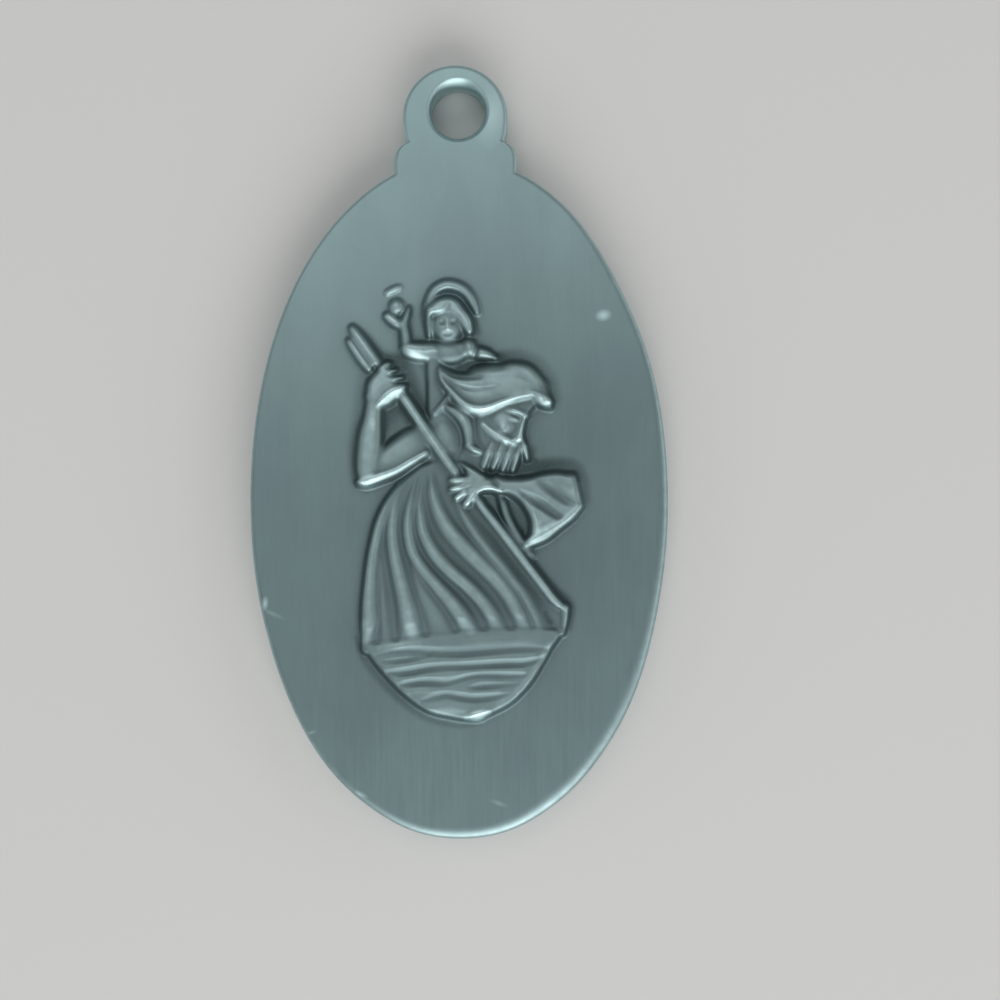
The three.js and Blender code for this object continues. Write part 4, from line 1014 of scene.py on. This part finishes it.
# The rolled edge and the mouths of the bore are rubbed bright all round, and the walls between them
# less, the least half way down. Then the blank, the bore and the net become one piece.
edge_rubbed = 0.7
bore_rubbed = 0.9
rub_starts = 0.25 * edge_deep
wall_spared = 0.6
for part, most_rubbed in ((blank, edge_rubbed), (bore, bore_rubbed)):
    high = np.array([vertex.co.z for vertex in part.data.vertices])
    down = np.minimum(high, plate_thick - high)
    down_wall = 2 * np.clip(down / plate_thick, 0, 0.5)
    turned = np.clip(down / rub_starts, 0, 1) * (1 - wall_spared * down_wall)
    give_finish(part.data, np.zeros(len(high)), most_rubbed * turned)

bpy.ops.object.select_all(action="DESELECT")
for part in (blank, bore, net):
    part.select_set(True)
bpy.context.view_layer.objects.active = net
bpy.ops.object.join()
medal = bpy.context.object


def close_face(high):
    """Fills the flat face at a height between its open edges."""
    level = np.array([abs(vertex.co.z - high) < 1e-5 for vertex in medal.data.vertices])
    ends = np.empty(len(medal.data.edges) * 2, int)
    medal.data.edges.foreach_get("vertices", ends)
    sides = np.empty(len(medal.data.loops), int)
    medal.data.loops.foreach_get("edge_index", sides)
    open_edge = np.bincount(sides, minlength=len(medal.data.edges)) == 1
    chosen = open_edge & level[ends.reshape(-1, 2)].all(axis=1)
    bpy.context.tool_settings.mesh_select_mode = (False, True, False)
    bpy.ops.object.mode_set(mode="EDIT")
    bpy.ops.mesh.select_all(action="DESELECT")
    bpy.ops.object.mode_set(mode="OBJECT")
    medal.data.edges.foreach_set("select", chosen)
    bpy.ops.object.mode_set(mode="EDIT")
    bpy.ops.mesh.fill(use_beauty=True)
    bpy.ops.object.mode_set(mode="OBJECT")


close_face(plate_thick)
close_face(0)
bpy.ops.object.mode_set(mode="EDIT")
bpy.ops.mesh.select_all(action="SELECT")
bpy.ops.mesh.normals_make_consistent(inside=False)
bpy.ops.object.mode_set(mode="OBJECT")
bpy.ops.object.shade_smooth()
for vertex in medal.data.vertices:
    vertex.co = Vector((vertex.co.x * mm, vertex.co.y * mm + oval_middle, vertex.co.z * mm))

# Antiqued pewter: a satin grey metal with a cold, slightly green tone, brushed from top to foot with
# fine strokes. It stays black in the hollows, and the high points and the rim are rubbed pale. The
# black also holds painted shade, and the pale holds painted highlights.
pewter_grey = (0.255, 0.355, 0.36, 1)
pewter_cloud = (0.228, 0.314, 0.325, 1)
pewter_black_and_shade = (0.036, 0.055, 0.060, 1)
pewter_pale_and_highlight = (0.49, 0.65, 0.66, 1)

pewter = bpy.data.materials.new("antiqued_pewter")
pewter.use_nodes = True
tree = pewter.node_tree
shader = tree.nodes["Principled BSDF"]
shader.inputs["Metallic"].default_value = 1.0


def put(kind, sockets, **settings):
    """Adds a node and fills its sockets, by a value or by a link from another node's output."""
    node = tree.nodes.new(kind)
    row, column = divmod(len(tree.nodes), 10)
    node.location = (240 * column - 2800, -360 * row)
    for name, value in settings.items():
        setattr(node, name, value)
    for socket, value in sockets.items():
        if isinstance(value, bpy.types.NodeSocket):
            tree.links.new(value, node.inputs[socket])
        else:
            node.inputs[socket].default_value = value
    return node


def worked_out(operation, one, other, clamped=False):
    """A sum, product or the like of two masks."""
    node = put("ShaderNodeMath", {0: one, 1: other}, operation=operation, use_clamp=clamped)
    return node.outputs[0]


def spread(mask, low, high, to_low=0.0, to_high=1.0):
    """A mask, stretched from one range to another."""
    return put("ShaderNodeMapRange", {0: mask, 1: low, 2: high, 3: to_low, 4: to_high}).outputs[0]


def stretched(scale):
    """Places on the medal, stretched by a scale each way."""
    return put("ShaderNodeMapping", {"Vector": place, "Scale": scale}).outputs[0]


def laid_at(spot, turn, size):
    """Places counted from a spot on the medal, turned and measured by a size each way."""
    sockets = {"Vector": place, "Location": spot, "Rotation": (0, 0, turn), "Scale": size}
    return put("ShaderNodeMapping", sockets, vector_type="TEXTURE").outputs[0]


def noise(vector, scale, detail, rough=0.5):
    """A cloudy mask."""
    sockets = {"Vector": vector, "Scale": scale, "Detail": detail, "Roughness": rough}
    return put("ShaderNodeTexNoise", sockets).outputs["Fac"]


def fading(kind, vector):
    """A round mask that fades from its middle."""
    return put("ShaderNodeTexGradient", {"Vector": vector}, gradient_type=kind).outputs["Fac"]


def tinted(mask, colour, cover):
    """A colour, covered by another as far as a mask says."""
    return put("ShaderNodeMix", {0: mask, 6: colour, 7: cover}, data_type="RGBA").outputs[2]


def blended(mask, number, cover):
    """A number, replaced by another as far as a mask says."""
    return put("ShaderNodeMix", {0: mask, 2: number, 3: cover}, data_type="FLOAT").outputs[0]


place = put("ShaderNodeTexCoord", {}).outputs["Object"]
tarnished_and_shaded = put("ShaderNodeAttribute", {}, attribute_name="tarnish_and_shade").outputs["Fac"]
rubbed_and_highlit = put("ShaderNodeAttribute", {}, attribute_name="polish_and_highlight").outputs["Fac"]
strokes = noise(stretched((11000, 560, 11000)), 1.0, 3.0, 0.6)
cloud = noise(stretched((420, 190, 420)), 1.0, 4.0, 0.55)
grain = noise(place, 16000.0, 2.0)
wear = noise(place, 2600.0, 3.0, 0.6)

# Small knocks and rubbed places on the face and the rim, shown as bright marks: scratched metal, and
# painted glints of dents that are not in the shape, with a painted highlight on the right of the eye.
# Each has its place across and along the medal, its turn in degrees, how long and wide it is, and how
# bright. The lengths are in metres.
knock_and_glint_table = [
    (0.00490, 0.00456, 12, 0.00030, 0.00022, 1.2),
    (0.00123, -0.01175, -20, 0.00036, 0.00010, 0.4),
    (-0.00655, -0.00500, 80, 0.00030, 0.00014, 1.1),
    (-0.00628, -0.00532, -25, 0.00050, 0.00010, 0.3),
    (-0.00509, -0.00934, 20, 0.00030, 0.00008, 0.5),
    (-0.00343, -0.01140, -25, 0.00034, 0.00012, 0.9),
    (0.00540, 0.00553, -60, 0.00060, 0.00011, 0.7),
    (0.00124, 0.01130, 80, 0.00120, 0.00070, 0.6),
]
knock_deep = 0.001
face_up = plate_thick * mm
rubbed_and_highlit = worked_out("MULTIPLY", rubbed_and_highlit, spread(wear, 0.35, 0.65, 0.78, 1.12), clamped=True)
for across_face, along_face, turn, long, wide, strength in knock_and_glint_table:
    spot = laid_at((across_face, along_face, face_up), math.radians(turn), (long, wide, knock_deep))
    knock_glint = worked_out("MULTIPLY", fading("SPHERICAL", spot), strength, clamped=True)
    rubbed_and_highlit = worked_out("MAXIMUM", rubbed_and_highlit, knock_glint)

# The field has faint clouds and brush strokes. It is paler towards the eye, partly from less patina
# there and partly as a painted sheen, and a little darker round the figure.
field = tinted(spread(cloud, 0.35, 0.65), pewter_grey, pewter_cloud)
patina_and_sheen_from_foot = [(0.0, 0.44), (0.4, 0.4), (0.6, 0.46), (0.8, 0.58), (1.0, 0.72)]
along = put("ShaderNodeVectorMath", {0: stretched((-9, 40, 0)), 1: (1, 1, 0)}, operation="DOT_PRODUCT")
share_up = worked_out("ADD", along.outputs["Value"], 0.5)
patina_and_sheen_up = put("ShaderNodeFloatCurve", {"Value": share_up})
curve = patina_and_sheen_up.mapping.curves[0]
for n, (share, light) in enumerate(patina_and_sheen_from_foot):
    point = curve.points[n] if n < 2 else curve.points.new(share, light)
    point.location = (share, light)
patina_and_sheen_up.mapping.update()
figure_middle = (0.0007, -0.0006, face_up)
figure_round = (0.0066, 0.0108, 0.01)
round_figure = fading("QUADRATIC_SPHERE", laid_at(figure_middle, 0, figure_round))
shade = worked_out("MULTIPLY", patina_and_sheen_up.outputs[0], 2)
shade = worked_out("MULTIPLY", spread(strokes, 0.3, 0.7, 0.96, 1.04), shade)
shade = worked_out("MULTIPLY", shade, spread(round_figure, 0.0, 0.45, 1.0, 0.84))
brushed = put("ShaderNodeVectorMath", {0: field, "Scale": shade}, operation="SCALE").outputs[0]

# Over it come the rubbed metal with its painted highlights, the black of the hollows with its painted
# shade, and the fine surface of the brushing.
pale_and_highlit = tinted(rubbed_and_highlit, brushed, pewter_pale_and_highlight)
patchy = worked_out("ADD", tarnished_and_shaded, spread(grain, 0.3, 0.7, -0.08, 0.08), clamped=True)
black_and_shade = worked_out("MULTIPLY", patchy, tarnished_and_shaded, clamped=True)
tree.links.new(tinted(black_and_shade, pale_and_highlit, pewter_black_and_shade), shader.inputs["Base Color"])

satin = spread(strokes, 0.3, 0.7, 0.46, 0.52)
rubbed_satin = blended(rubbed_and_highlit, satin, 0.40)
tree.links.new(blended(tarnished_and_shaded, rubbed_satin, 0.6), shader.inputs["Roughness"])

texture = put("ShaderNodeMath", {0: grain, 1: 0.5, 2: strokes}, operation="MULTIPLY_ADD").outputs[0]
bump = put("ShaderNodeBump", {"Strength": 0.25, "Distance": 0.000003, "Height": texture})
tree.links.new(bump.outputs[0], shader.inputs["Normal"])

medal.data.materials.clear()
medal.data.materials.append(pewter)
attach(medal, "root")
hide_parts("medal")
